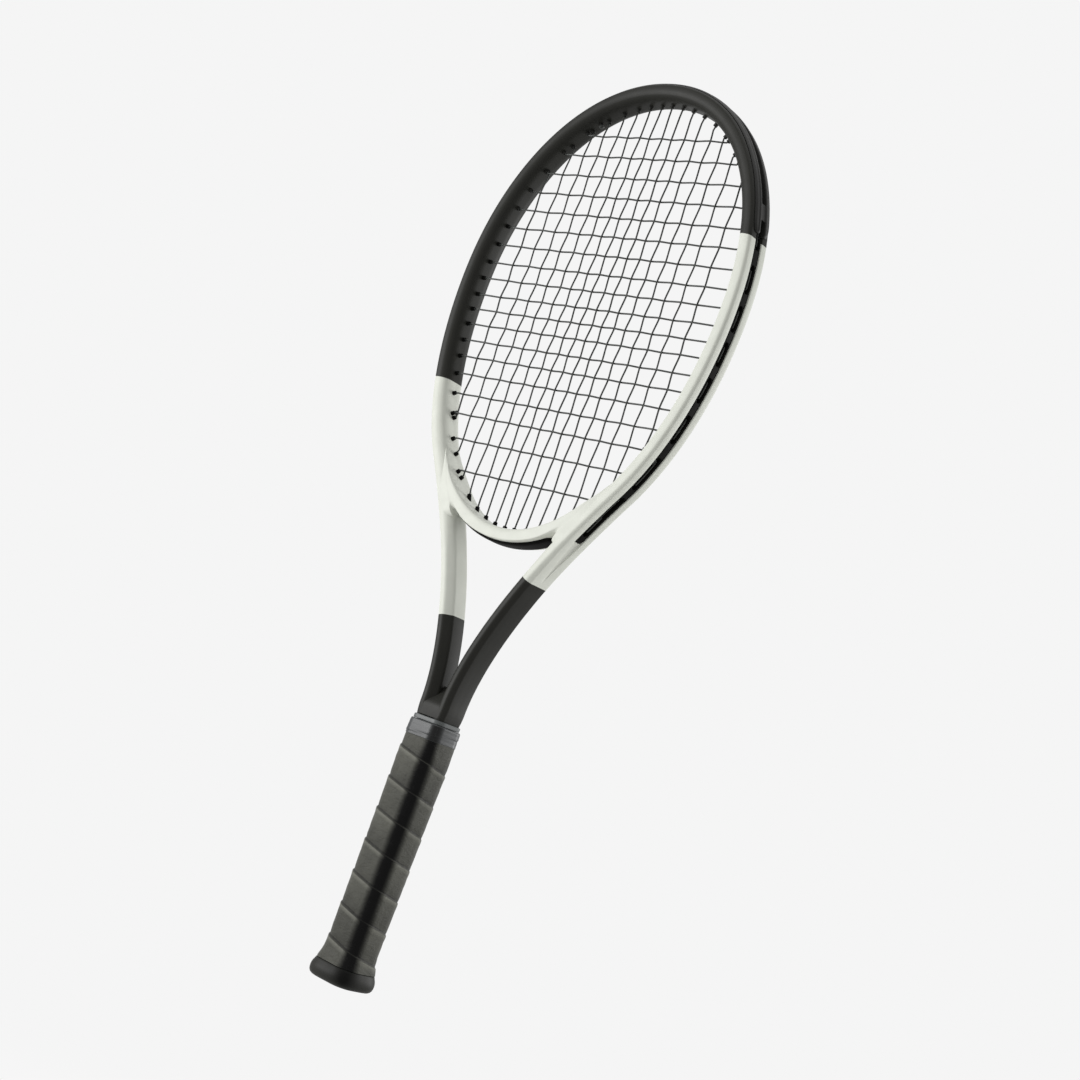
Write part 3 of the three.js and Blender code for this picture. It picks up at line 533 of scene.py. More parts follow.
def makeBridge():
    outline = headOutline(np.linspace(1, head.shaftStart - bridge.past, bridge.probes[0]))
    low, normal = bridgeUnderside(outline)
    top, out = (np.stack(pair, axis=1) for pair in (outline[:2], outline[2:]))
    lowFar, topFar = farAlong(low), farAlong(top)
    share = np.linspace(0, 1, bridge.rows)
    # both lines are walked at their own pace, so that each row runs from one to the other
    lowAt = pointAt(lowFar, low, share * lowFar[-1])
    topOut = pointAt(topFar, out, share * topFar[-1])
    buried = ramp(share, *bridge.buried) * bridge.buriedBy
    topAt = pointAt(topFar, top, share * topFar[-1]) + topOut * buried[:, None]
    way = lowAt - topAt
    size = np.linalg.norm(way, axis=1)
    way = way / size[:, None]
    spread = ramp(share, *bridge.spread)
    late = ramp(share, *bridge.late)
    turned = ramp(share * lowFar[-1], *(lowFar[-1] - part * bridge.fillet for part in bridge.turned))

    def widening(middle, end, along=spread):
        return middle + (end - middle) * along

    half, rim = widening(*bridge.half), widening(*bridge.rim, turned)
    near, full = (widening(a, b) + (np.maximum(size * part, b) - b) * late for a, b, part in bridge.edges)
    drop = widening(*bridge.drop[:2]) + bridge.drop[2] * late
    rows = [(0, -widening(*bridge.crown)), (near, drop - half), (full, -half), (size - rim, -half)]
    rows += [(size - rim * bridge.rimCut, rim * bridge.rimCut - half), (size, rim - half)]
    loops = mirrored(rows, bridge.rounds)
    down, y = loops[..., 0], loops[..., 1]
    x, z = (topAt[:, k : k + 1] + way[:, k : k + 1] * down for k in (0, 1))
    points = np.stack([x, y, z], axis=-1)
    # the last row is pushed on into the shaft
    sink = np.clip(down[-1] / size[-1], 0, 1)[:, None]
    outward = (1 - sink) * np.insert(topOut[-1], 1, 0) + sink * np.insert(normal, 1, 0)
    least, whole = bridge.sinkShare
    push = outward * (least + (1 - least) * ramp(sink, 0, whole))
    points = np.concatenate([points, *((points[-1] + push * depth)[None] for depth in bridge.sinks)])
    return wrapped("throatBridge", np.concatenate([points[1:][::-1] * (-1, 1, 1), points]))


# grommet barrels: one is modelled, and the rest are its copies

barrel = Sizes(
    radius=1.85, tip=0.84, proud=2.3, buried=3.2, wall=0.5, bore=2.8, edge=0.22, sides=14, smooth=40,
)


def makeBarrel():
    b = barrel
    size = {"radius": b.radius * mm, "depth": (b.proud + b.buried) * mm}
    middle = (b.proud - b.buried) / 2 * mm
    first = added(bpy.ops.mesh.primitive_cylinder_add, vertices=b.sides, location=(0, 0, middle), **size)
    with editing("FACE"):
        bpy.ops.mesh.select_all(action="DESELECT")
    max(first.data.polygons, key=lambda face: face.center.z).select = True
    with editing():
        bpy.ops.transform.resize(value=(b.tip, b.tip, 1))
        bpy.ops.mesh.inset(thickness=b.edge * mm, depth=b.edge * mm)
        bpy.ops.mesh.inset(thickness=(b.wall - b.edge) * mm)
        bpy.ops.mesh.extrude_region_move(TRANSFORM_OT_translate={"value": (0, 0, -b.bore * mm)})
    smooth(first, b.smooth)
    return first


def barrelsAt(holes):
    copies = []
    for hole in holes:
        way = Vector(hole["mouth"] - hole["leave"]).normalized()
        surface = Vector(hole["mouth"]) - way * strings.mouth
        turn = Vector((0, 0, 1)).rotation_difference(way).to_matrix().to_4x4()
        copy = bpy.data.objects.new("barrel", firstBarrel.data.copy())
        copy.data.transform(Matrix.Translation(surface * mm) @ turn)
        scene.collection.objects.link(copy)
        copies.append(copy)
    return copies


firstBarrel = makeBarrel()

# strips and guards: each run of string outside the frame lies in a window, between closed covers

windows = Sizes(
    half=2.3, past=2.6, join=1.5, floor=8.8, offsets=(0, 0.12, 0.35, 0.8, 1.4, 1.9),
)


def runSpans(line):
    past = windows.past
    ends = [sorted((a["place"], b["place"])) for a, b in mainRuns + crossRuns if a["line"] == line]
    merged = []
    for low, high in sorted((low - past, high + past) for low, high in ends):
        if merged and low < merged[-1][1] + windows.join:
            merged[-1][1] = max(merged[-1][1], high)
        else:
            merged.append([low, high])
    return merged


def openness(places, spans):
    inside = [np.minimum(places - low, high - places) for low, high in spans]
    return np.max([np.zeros(len(places))] + inside, axis=0)


def windowPlaces(spans):
    return [edge + past for span in spans for edge in span for past in bothWays(windows.offsets)]


sideStrip = Sizes(
    bottom=8.3, half=4.05, top=11.3, coverRise=0.2, coverHalf=3.0, coverEdge=0.35, round=3.6, leastEnd=0.12,
    leastWindow=0.06,
    coverFall=(0, 0.2),  # how far into a window the cover has gone, and the floor is reached
    floorFall=(0, 0.3), floorShare=0.9,
    shares=(0.86, 0.72, 0.6),  # of the half width, at most: foot and top of the cover, window
    rounds=(0.2, 0.7, 0.25, 0.3, 0.3, 0.3), endRows=(0.1, 0.3, 0.7, 1.3, 2), step=1.6, gap=0.3, smooth=40,
)


def stripLoops(places, low, high, spans):
    s = sideStrip
    inside = openness(places, spans)
    half = s.half * np.maximum(roundEnd(openness(places, [(low, high)]), s.round), s.leastEnd)
    foot, cover, window = (half * share for share in s.shares)
    top = s.top + s.coverRise * (1 - ramp(inside, *s.coverFall))
    inner = windows.half * roundEnd(inside, windows.half)
    inner = np.minimum(np.maximum(inner, s.leastWindow), window)
    rows = [
        (s.bottom, -half),
        (s.top, -half),
        (s.top, -np.minimum(s.coverHalf + s.coverEdge, foot)),
        (top, -np.minimum(s.coverHalf, cover)),
        (top, -inner),
        (top - (top - windows.floor) * ramp(inside, *s.floorFall), -inner * s.floorShare),
    ]
    return mirrored(rows, s.rounds, 3)


# the body of a strip or guard, joined with the barrels of its holes
def withBarrels(name, kind, places, loops, degrees, low, high):
    body = swept(name, runLines[kind][0], places, loops, degrees)
    holes = [hole for hole in allHoles if hole["line"] == kind and low < hole["place"] < high]
    return joinAll(name, [body] + barrelsAt(holes))


def makeSideStrip(side):
    s = sideStrip
    low, high = sorted((-side * stripEnd, -side * (guardPlace + s.gap)))
    spans = runSpans("tube")
    extra = windowPlaces(spans) + [low + v for v in s.endRows] + [high - v for v in s.endRows]
    places = linePlaces(low, high, extra, s.step)
    name = "sideStripRight" if side > 0 else "sideStripLeft"
    return withBarrels(name, "tube", places, stripLoops(places, low, high, spans), s.smooth, low, high)


guard = Sizes(
    half=9.4, endHalf=5.6, seat=12.5, skin=13.9, ridge=14.4, ridgeHalf=4.8, ridgeFoot=0.5, taper=9,
    endSkin=0.25, endRound=2.2,
    closed=0.9,  # depth of the slit where no string runs
    slitEdge=0.6, slitFall=(0, 0.4), rounds=(0.2, 0.3, 0.35, 1.1, 0.5, 0.6, 0.7, 0.5),
    endRows=(0, 0.1, 0.4, 0.9, 1.6, 2.6, 4), step=2.0, smooth=40,
)


def makeGuard():
    g = guard
    spans = runSpans("tube")
    extra = windowPlaces(spans) + bothWays([guardPlace - v for v in g.endRows])
    places = linePlaces(-guardPlace, guardPlace, extra, g.step)
    toEnd = guardPlace - np.abs(places)
    half = g.endHalf + (g.half - g.endHalf) * roundEnd(toEnd, g.taper)
    thin = roundEnd(toEnd, g.endRound)
    seat = g.seat + g.endSkin
    skin = seat + (g.skin - seat) * thin
    ridge = skin + (g.ridge - g.skin) * thin
    slit = ridge - g.closed
    rows = [
        (sideStrip.bottom, -sideStrip.half),
        (g.seat, -sideStrip.half),
        (g.seat, -half),
        (skin, -half + (skin - g.seat)),
        (skin, -g.ridgeHalf - g.ridgeFoot),
        (ridge, -g.ridgeHalf),
        (ridge, -windows.half - g.slitEdge),
        (slit - (slit - windows.floor) * ramp(openness(places, spans), *g.slitFall), -windows.half),
    ]
    loops = mirrored(rows, g.rounds)
    return withBarrels("bumperGuard", "tube", places, loops, g.smooth, -guardPlace, guardPlace)


throat = Sizes(
    reach=45.6, top=9.0, bottom=11.3, half=7.0, corner=5.0, endThick=0.5, endRound=1.4,
    shares=(0.55, 0.72),  # of the thickness and of the half width, where the underside turns
    rounds=(0.25, 1.2, 2.4), endRows=(0, 0.15, 0.5, 1, 1.7, 2.6, 3.7, 5), step=2.0, smooth=50,
)


def makeThroatStrip():
    t = throat
    end = placeWhere(bridgeLine, 0, bridgeLine["far"][-1], widthAt(t.top), t.reach)
    places = linePlaces(-end, end, bothWays([end - v for v in t.endRows]), t.step)
    toEnd = end - np.abs(places)
    half = t.half - t.corner + t.corner * roundEnd(toEnd, t.corner)
    least = t.top + t.endThick
    bottom = least + (t.bottom - least) * roundEnd(toEnd, t.endRound)
    turn, narrow = t.shares
    rows = [(t.top, -half), (bottom - (bottom - t.top) * turn, -half), (bottom, -half * narrow)]
    return withBarrels("throatStrip", "bridge", places, mirrored(rows, t.rounds, 5), t.smooth, -end, end)


# strings

cordLook = Sizes(sides=2, runStep=4.0, flat=1.5, smooth=60, tie=1.0)
knot = Sizes(
    radius=1.35, turns=1.3, pitch=1.2, rows=22, sunk=0.5, foot=1.5, rise=0.5,
    tail=((0.48, 0.5), (0.8, 0.9)),  # how far out and how far aside
)


def cordMesh(name, points, size):
    data = bpy.data.curves.new(name, "CURVE")
    data.dimensions = "3D"
    spline = data.splines.new("POLY")
    spline.points.add(len(points) - 1)
    spline.points.foreach_set("co", np.column_stack([np.asarray(points) * mm, np.ones(len(points))]).ravel())
    data.bevel_depth = size / 2 * mm
    data.bevel_resolution = cordLook.sides
    data.use_fill_caps = True
    piece = bpy.data.objects.new(name, data)
    scene.collection.objects.link(piece)
    take(piece)
    bpy.ops.object.convert(target="MESH")
    piece = bpy.context.object
    smooth(piece, cordLook.smooth)
    return piece


def cutCorners(points):
    points = np.asarray(points, float)
    a, b = points[:-1], points[1:]
    cut = np.stack([0.75 * a + 0.25 * b, 0.25 * a + 0.75 * b], axis=1).reshape(-1, 3)
    return np.concatenate([points[:1], cut, points[-1:]])


def runPath(run):
    a, b = run
    line, out = runLines[a["line"]]
    steps = max(2, int(abs(b["place"] - a["place"]) / cordLook.runStep))
    share = np.linspace(0, 1, steps + 1)
    ends = (a["place"], b["place"]), (a["leave"][1], b["leave"][1])
    places, y = (first + (last - first) * share for first, last in ends)
    return list(onLine(line, places, out, y))


def tieEnd(hole):
    way = hole["leave"] - hole["mouth"]
    return hole["mouth"] + way / np.linalg.norm(way) * cordLook.tie


# one cord: from its first tie through every line, over and under the other cord's lines, to its last tie
def wovenPath(ties, runs, lines, ends, axis, across, lift):
    points = [tieEnd(ties[0])] + runPath(runs[0])
    for index, (line, run) in enumerate(zip(lines, runs[1:])):
        low, high = (line[end]["mouth"] for end in ends)
        stretch = [low]
        for place, other in sorted((place, other) for other, place in enumerate(across)):
            if low[axis] < place < high[axis]:
                for offset in (-cordLook.flat, cordLook.flat):
                    point = [line["at"], lift * (-1) ** (index + other), line["at"]]
                    point[axis] = place + offset
                    stretch.append(point)
        stretch.append(high)
        points += (stretch[::-1] if index % 2 else stretch) + runPath(run)
    return cutCorners(points + [tieEnd(ties[1])])


def knotPath(hole):
    k = knot
    way = hole["mouth"] - hole["leave"]
    way = way / np.linalg.norm(way)
    first = np.cross(way, (0, 1, 0))
    first /= np.linalg.norm(first)
    second = np.cross(way, first)
    foot = hole["mouth"] - way * k.sunk
    points = [foot - way * k.foot]
    for turn in np.linspace(0, k.turns, k.rows):
        angle = 2 * math.pi * turn
        aside = k.radius * (math.cos(angle) * first + math.sin(angle) * second)
        points.append(foot + way * k.pitch * turn + aside)
    top = foot + way * (k.pitch * k.turns + k.rise)
    points += [top] + [top + way * out + second * aside for out, aside in k.tail]
    return cutCorners(points)


def makeStringBed():
    mainPath = wovenPath(
        mainTies, mainRuns, mains, ("bottom", "top"), 2, [cross["at"] for cross in crosses], strings.swing
    )
    crossPath = wovenPath(
        crossTies, crossRuns, crosses, ("left", "right"), 0, [main["at"] for main in mains], -strings.swing
    )
    made = []
    for name, path, ties in (("mainString", mainPath, mainTies), ("crossString", crossPath, crossTies)):
        parts = [cordMesh(name, path, strings.size)]
        parts += [cordMesh("knot", knotPath(tie), strings.size) for tie in ties]
        made.append(joinAll(name, parts))
    return made


# handle

handleShape = Sizes(flat=2, corner=0.354, narrowCorner=0.27, turning=(150, 188), steps=7)


def octagon(wide, deep, corner):
    return np.array([
        (wide, -deep + corner), (wide, deep - corner), (wide - corner, deep), (-wide + corner, deep),
        (-wide, deep - corner), (-wide, -deep + corner), (-wide + corner, -deep), (wide - corner, -deep),
    ])


def handleOctagon(half, corner=handleShape.corner):
    return octagon(half, half - handleShape.flat, half * corner)


def levels(name, heights, outlines, degrees=32, closed=True):
    loops = np.stack(outlines)
    z = np.broadcast_to(np.asarray(heights, float)[:, None, None], (*loops.shape[:2], 1))
    return wrapped(name, np.concatenate([loops, z], axis=-1), degrees, closed)


grip = Sizes(
    foot=12.7, top=186.8, size=17.1, pitch=22.9, phase=0.42,
    profile=(  # height and half width
        (12.7, 19.5), (14.5, 19.0), (17.5, 18.1), (21, 17.5), (26, 17.1), (60, 17.05), (120, 17.05),
        (158.8, 17.1), (178, 15.9), (186.8, 15.4),
    ),
    seam=(  # share of a turn and rise there, from the edge of one lap to the edge of the next
        (0, 0.3), (0.012, 0.26), (0.03, 0.0), (0.05, -0.28), (0.075, -0.34), (0.11, -0.22), (0.2, -0.1),
        (0.35, -0.02), (0.5, 0.04), (0.65, 0.07), (0.8, 0.1), (0.88, 0.18), (0.94, 0.28), (0.975, 0.32),
    ),
    round=4.2, ripple=0.07, waves=((0.9, 5), (0.23, 2)), smooth=38,
)


def gripHalf(z):
    heights, halves = zip(*grip.profile)
    return np.interp(z, heights, halves)


# the handle's outline with wide and with narrow corners, and the share of its girth at each point
def wrapOutline(tape):
    outlines = (handleOctagon(tape.size, handleShape[corner]) for corner in ("corner", "narrowCorner"))
    base, narrow = (rounded(outline, tape.round, handleShape.steps) for outline in outlines)
    far = farAlong(base)
    return base, narrow, far / far[-1]


# the outline is scaled out from its first size, with its corners kept round
def wrapPoints(tape, base, narrow, half, z):
    outline = base[None] + (narrow - base)[None] * ramp(z, *handleShape.turning)[..., None]
    flat = handleShape.flat
    scaleX, scaleY = half / tape.size, (half - flat) / (tape.size - flat)
    return np.stack([outline[..., 0] * scaleX, outline[..., 1] * scaleY, z], axis=-1)


def makeGrip():
    g = grip
    base, narrow, girth = wrapOutline(g)
    share, rise = (np.array(v) for v in zip(*g.seam))
    turns = int(math.ceil((g.top - g.foot) / g.pitch)) + 4
    count = np.arange(turns * len(share) + 1)
    turn, kind = count // len(share), count % len(share)
    z = g.foot + g.pitch * (g.phase - 2 - girth[None, :] + (turn + share[kind])[:, None])
    lap = 2 * math.pi * girth[None, :]
    wave = np.prod([np.sin(z * high + around * lap) for high, around in g.waves], axis=0)
    half = gripHalf(z) + rise[kind][:, None] + g.ripple * wave
    points = wrapPoints(g, base, narrow, half, z)
    piece = wrapped("gripTape", points, g.smooth, closed=False, along=g.pitch * (turn + share[kind]))
    take(piece)
    with editing("VERT"):
        for height, above in ((g.foot, False), (g.top, True)):
            bpy.ops.mesh.select_all(action="SELECT")
            plane = {"plane_co": (0, 0, height * mm), "plane_no": (0, 0, 1), "threshold": meshing.cut}
            bpy.ops.mesh.bisect(use_fill=True, clear_inner=not above, clear_outer=above, **plane)
        turnOutward()
    smooth(piece, g.smooth)
    return piece


finishTape = Sizes(
    foot=175.3, top=187.0, size=16, round=3.4, thick=0.38, lap=0.28, lapFoot=1.5, lapTurn=0.3, lapEdge=0.25,
    turnRise=9.5, rows=26, ripple=(0.05, 2.1, 14),
    footEdge=(0.55, 0.7),  # how far it draws in, over what height
    topEdge=(0.7, 1.1), smooth=38,
)


def makeFinishTape():
    t = finishTape
    base, narrow, girth = wrapOutline(t)
    share = np.linspace(0, 1, t.rows)
    z = t.foot + (t.top - t.foot) * np.broadcast_to(share[:, None], (t.rows, len(girth)))
    edge = t.foot + t.lapFoot + t.turnRise * np.mod(girth + t.lapTurn, 1.0)[None, :]
    size, high, around = t.ripple
    half = gripHalf(z) + t.thick + t.lap * ramp(z - edge, -t.lapEdge, t.lapEdge)
    half = half + size * np.sin(z * high + around * girth[None, :])
    for (drawn, over), distance in ((t.footEdge, z - t.foot), (t.topEdge, t.top - z)):
        half = half - drawn * (1 - roundEnd(distance, over))
    return wrapped("finishingTape", wrapPoints(t, base, narrow, half, z), t.smooth)


collar = Sizes(
    wide=14.9, deep=12.7, corner=3.8, round=2.4,
    profile=(  # height, and how far it stands out
        (187.1, -0.5), (187.2, -0.15), (187.5, 0.05), (188.6, 0.1), (189.85, 0.06), (190.2, -0.3),
        (190.3, -0.8), (190.3, -1.3), (187.1, -1.3), (187.1, -0.5),
    ),
    smooth=30,
)


def makeCollar():
    c = collar
    heights, grown = zip(*c.profile)
    outlines = [rounded(octagon(c.wide + out, c.deep + out, c.corner), c.round, 6) for out in grown]
    return levels("gripCollar", heights, outlines, c.smooth, closed=False)


cap = Sizes(
    bulb=(  # height and half width
        (0, 16.2), (0.05, 17.2), (0.5, 18.9), (1.4, 20.1), (2.6, 20.8), (4.2, 21.15), (6, 21.2), (7.6, 21.05),
        (9.2, 20.6), (10.8, 19.95), (11.8, 19.6), (12.2, 19.3), (12.35, 18.2),
    ),
    inside=((14, 18.0), (20, 14.9), (27, 14.9), (27, 13.9), (2.2, 13.9)), size=21.2, cornerRound=9,
    leastRound=1.2, insideRound=2.0, doorway=(12.9, 9.9, 4), doorwayRound=1.4, doorwayLip=0.5, floor=2.2,
    smooth=30,
)


def makeCap():
    steps = handleShape.steps
    rows = []
    for z, half in cap.bulb:
        radius = cap.cornerRound * (half / cap.size) ** 4 + cap.leastRound
        rows.append((z, rounded(handleOctagon(half), radius, steps)))
    rows += [(z, rounded(handleOctagon(half), cap.insideRound, steps)) for z, half in cap.inside]
    wide, deep, corner = cap.doorway
    lip = cap.doorwayLip
    doorway, edge = (
        rounded(octagon(wide + out, deep + out, corner), cap.doorwayRound, steps) for out in (0, lip)
    )
    rows += [(cap.floor, doorway), (lip, doorway), (0, edge), rows[0]]
    return levels("buttCap", [z for z, _ in rows], [loop for _, loop in rows], cap.smooth, closed=False)


door = Sizes(
    wide=12.6, deep=9.6, corner=4, low=0.5, thick=1.5,
    insets=((2.6, 0), (0.4, -0.35), (2.2, 0), (0.35, 0.35)),  # how far in, and how far out of the face
    prong=(5.0, 1.2, 3.2), prongInset=1.4, prongSunk=0.3, prongTip=(0.6, 0.8, 1),
    level=0.9,  # least rise of a normal that counts as straight up or down
    edge=0.3, smooth=35,
)


def pickFaces(piece, test):
    for face in piece.data.polygons:
        face.select = test(face.normal.z)


def bearing(x, y):
    return math.atan2(y, x) % (2 * math.pi)


def makeDoor():
    d = door
    size = {"vertices": 8, "radius": 1, "depth": d.thick * mm}
    middle = (d.low + d.thick / 2) * mm
    plate = added(bpy.ops.mesh.primitive_cylinder_add, location=(0, 0, middle), **size)
    outline = sorted(octagon(d.wide, d.deep, d.corner), key=lambda point: bearing(*point))
    verts = sorted(plate.data.vertices, key=lambda v: (round(v.co.z, 6), bearing(v.co.x, v.co.y)))
    for index, vert in enumerate(verts):
        vert.co.x, vert.co.y = outline[index % 8] * mm
    pickFaces(plate, lambda up: up < -d.level)
    with editing("FACE"):
        for inward, out in d.insets:
            bpy.ops.mesh.inset(thickness=inward * mm, depth=out * mm)
    pieces = [plate]
    wide, thick, high = (value * mm for value in d.prong)
    for side in (-1, 1):
        place = (side * (d.wide - d.prongInset) * mm, 0, (d.low + d.thick - d.prongSunk) * mm + high / 2)
        prong = added(bpy.ops.mesh.primitive_cube_add, size=1, location=place, scale=(thick, wide, high))
        pickFaces(prong, lambda up: up > d.level)
        with editing("FACE"):
            bpy.ops.transform.resize(value=d.prongTip)
        pieces.append(prong)
    whole = joinAll("buttCapDoor", pieces)
    rim = whole.modifiers.new("softEdges", "BEVEL")
    rim.width, rim.segments, rim.limit_method = d.edge * mm, 2, "ANGLE"
    bpy.ops.object.modifier_apply(modifier=rim.name)
    smooth(whole, d.smooth)
    return whole


frameTube = joinAll("frameTube", [makeFrame(), makeYoke()])
bridgePiece = makeBridge()
print("frame moulded")
stripRight, stripLeft = makeSideStrip(1), makeSideStrip(-1)
guardPiece = makeGuard()
throatPiece = makeThroatStrip()
bpy.data.objects.remove(firstBarrel)
print("strips and guard fitted")
mainPiece, crossPiece = makeStringBed()
print("strings woven")
gripPiece, tapePiece, collarPiece = makeGrip(), makeFinishTape(), makeCollar()
capPiece, doorPiece = makeCap(), makeDoor()
print("handle wrapped")

dressing = (
    (frameTube, "racket", "lacquer", "frame_hairpin"),
    (bridgePiece, "racket", "lacquer", "throat_bridge"),
    (stripRight, "racket", "nylon", "side_strip_right"),
    (stripLeft, "racket", "nylon", "side_strip_left"),
    (guardPiece, "racket", "charcoal", "bumper_guard"),
    (throatPiece, "racket", "nylon", "throat_strip"),
    (mainPiece, "racket", "cord", "main_string"),
    (crossPiece, "racket", "cord", "cross_string"),
    (gripPiece, "racket", "leather", "grip_tape"),
    (tapePiece, "racket", "tape", "finishing_tape"),
    (collarPiece, "racket", "rubber", "grip_collar"),
    (capPiece, "racket", "cap", "butt_cap"),
    (doorPiece, "door", "cap", "butt_cap_door"),
)
for piece, body, slotName, node in dressing:
    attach(piece, body)
    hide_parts(node)
    print(piece.name, len(piece.data.polygons))

# materials


def linear(code):
    values = [int(code[i : i + 2], 16) / 255 for i in (0, 2, 4)]
    return [v / 12.92 if v <= 0.04045 else ((v + 0.055) / 1.055) ** 2.4 for v in values] + [1]


def newGroup(name, inputs, outputs):
    group = bpy.data.node_groups.new(name, "ShaderNodeTree")
    for label, kind, value in inputs:
        socket = group.interface.new_socket(name=label, in_out="INPUT", socket_type="NodeSocket" + kind)
        if value is not None:
            socket.default_value = value
    for label in outputs:
        group.interface.new_socket(name=label, in_out="OUTPUT", socket_type="NodeSocketFloat")
    return Tree(group), group.nodes.new("NodeGroupInput").outputs, group.nodes.new("NodeGroupOutput")


# short ways to the nodes of one tree
class Tree:
    def __init__(self, tree):
        self.tree = tree

    def put(self, node, key, value):
        if isinstance(value, bpy.types.NodeSocket):
            self.tree.links.new(value, node.inputs[key])
        else:
            node.inputs[key].default_value = value

    def add(self, kind, values=(), **settings):
        node = self.tree.nodes.new("ShaderNode" + kind)
        for key, value in settings.items():
            setattr(node, key, value)
        for key, value in dict(values).items():
            self.put(node, key, value)
        return node

    def maths(self, operation, a, b=0.0, clamp=False):
        return self.add("Math", {0: a, 1: b}, operation=operation, use_clamp=clamp).outputs[0]

    def plus(self, a, b):
        return self.maths("ADD", a, b)

    def minus(self, a, b):
        return self.maths("SUBTRACT", a, b)

    def times(self, a, b, clamp=False):
        return self.maths("MULTIPLY", a, b, clamp)

    def blend(self, factor, a, b):
        return self.add("Mix", {0: factor, 6: a, 7: b}, data_type="RGBA").outputs[2]

    # value, read from low to high, becomes first to last
    def spread(self, value, low, high, first=0.0, last=1.0):
        ends = {"From Min": low, "From Max": high, "To Min": first, "To Max": last}
        return self.add("MapRange", {"Value": value, **ends}).outputs[0]

    def between(self, value, first, last):
        return self.spread(value, 0.0, 1.0, first, last)

    def noise(self, where, scale, detail, roughness, distortion=0.0):
        values = {"Scale": scale, "Detail": detail, "Roughness": roughness, "Distortion": distortion}
        return self.add("TexNoise", {"Vector": where, **values}).outputs["Fac"]

    def axis(self, where, name):
        return self.add("SeparateXYZ", {0: where}).outputs[name]

    # 0 where a surface is seen straight on, 1 where it turns away
    def facing(self, low, high):
        return self.spread(self.add("LayerWeight", {"Blend": 0.5}).outputs["Facing"], low, high)

    # 1 for what the camera, a reflection or a clear body shows
    def seen(self):
        rays = self.add("LightPath").outputs
        direct = self.maths("MAXIMUM", rays["Is Camera Ray"], rays["Is Glossy Ray"])
        return self.maths("MAXIMUM", direct, rays["Is Transmission Ray"])


# fine grain: height and mottle of a moulded, painted or tanned surface
def makeGrainGroup():
    inputs = [("Place", "Vector", None), ("Scale", "Float", 400.0), ("Pores", "Float", 0.3)]
    group, start, end = newGroup("fineGrain", inputs, ["Height", "Mottle"])
    place, scale = start["Place"], start["Scale"]
    fine = group.noise(place, scale, 4.0, 0.6)
    cells = group.add("TexVoronoi", {"Vector": place, "Scale": group.times(scale, 1.7)})
    pores = group.times(cells.outputs["Distance"], start["Pores"])
    group.put(end, "Height", group.plus(fine, pores))
    group.put(end, "Mottle", group.noise(place, group.times(scale, 0.06), 3.0, 0.55))
    return group.tree


# edge wear: a mask of corners that hands and courts have rubbed
def makeWearGroup():
    inputs = [("Place", "Vector", None), ("Scale", "Float", 60.0), ("Sharpness", "Float", 4.0)]
    group, start, end = newGroup("edgeWear", inputs, ["Mask"])
    outward = group.minus(group.add("NewGeometry").outputs["Pointiness"], 0.5)
    edge = group.times(outward, start["Sharpness"], clamp=True)
    broken = group.spread(group.noise(start["Place"], start["Scale"], 5.0, 0.7), 0.42, 0.66)
    group.put(end, "Mask", group.times(edge, broken, clamp=True))
    return group.tree


grainGroup, wearGroup = makeGrainGroup(), makeWearGroup()


class Finish(Tree):
    def __init__(self, name, scale, pores, **sockets):
        self.material = bpy.data.materials.new(name)
        self.material.use_nodes = True
        super().__init__(self.material.node_tree)
        self.shader = self.tree.nodes["Principled BSDF"]
        for label, value in sockets.items():
            self.shader.inputs[label.replace("_", " ")].default_value = value
        places = self.add("TexCoord").outputs
        self.where, self.pattern = places["Object"], places["UV"]
        grain = self.add("Group", {"Place": self.where, "Scale": scale, "Pores": pores}, node_tree=grainGroup)
        self.height, self.mottle = grain.outputs["Height"], grain.outputs["Mottle"]

    def mottled(self, first, second, low, high):
        return self.blend(self.between(self.mottle, low, high), linear(first), linear(second))

    def rubbed(self, share, **values):
        wear = self.add("Group", {"Place": self.where, **values}, node_tree=wearGroup)
        return self.times(wear.outputs["Mask"], share)

    def done(self, tone, roughness, height, strength, distance):
        bump = self.add("Bump", {"Strength": strength, "Distance": distance, "Height": height})
        for key, value in (("Base Color", tone), ("Roughness", roughness), ("Normal", bump.outputs[0])):
            self.put(self.shader, key, value)
        return self.material


def plainFinish(name, colors, shine, roughness, scale, pores, strength, distance, worn=None, deep=None):
    f = Finish(name, scale, pores, Specular_IOR_Level=shine)
    tone = f.mottled(*colors, -0.6, 1.6)
    if worn:
        tone = f.blend(f.rubbed(0.5, Sharpness=3.0), tone, linear(worn))
    # painted sheen: the deep colour shows where the surface is seen straight on
    if deep:
        tone = f.blend(f.facing(0.03, 0.34), linear(deep), tone)
    rough = f.between(f.mottle, roughness - 0.06, roughness + 0.06)
    return f.done(tone, rough, f.height, strength, distance)


paint = Sizes(
    white=("c9cbc3", "c1c3bb"), charcoal=("242421", "1f1f1c"), flake="3c3c38", worn="55554f",
    splits=(  # a point on each border and the way along the tube there: head and shaft, left before right
        ((-118.0, 432.5), (-0.05, 1.0)),
        ((113.0, 571.0), (0.1, 1.0)),
        ((-20.0, 262.0), (-0.27, 1.0)),
        ((35.0, 304.0), (0.42, 1.0)),
    ),
    soft=0.12,
)


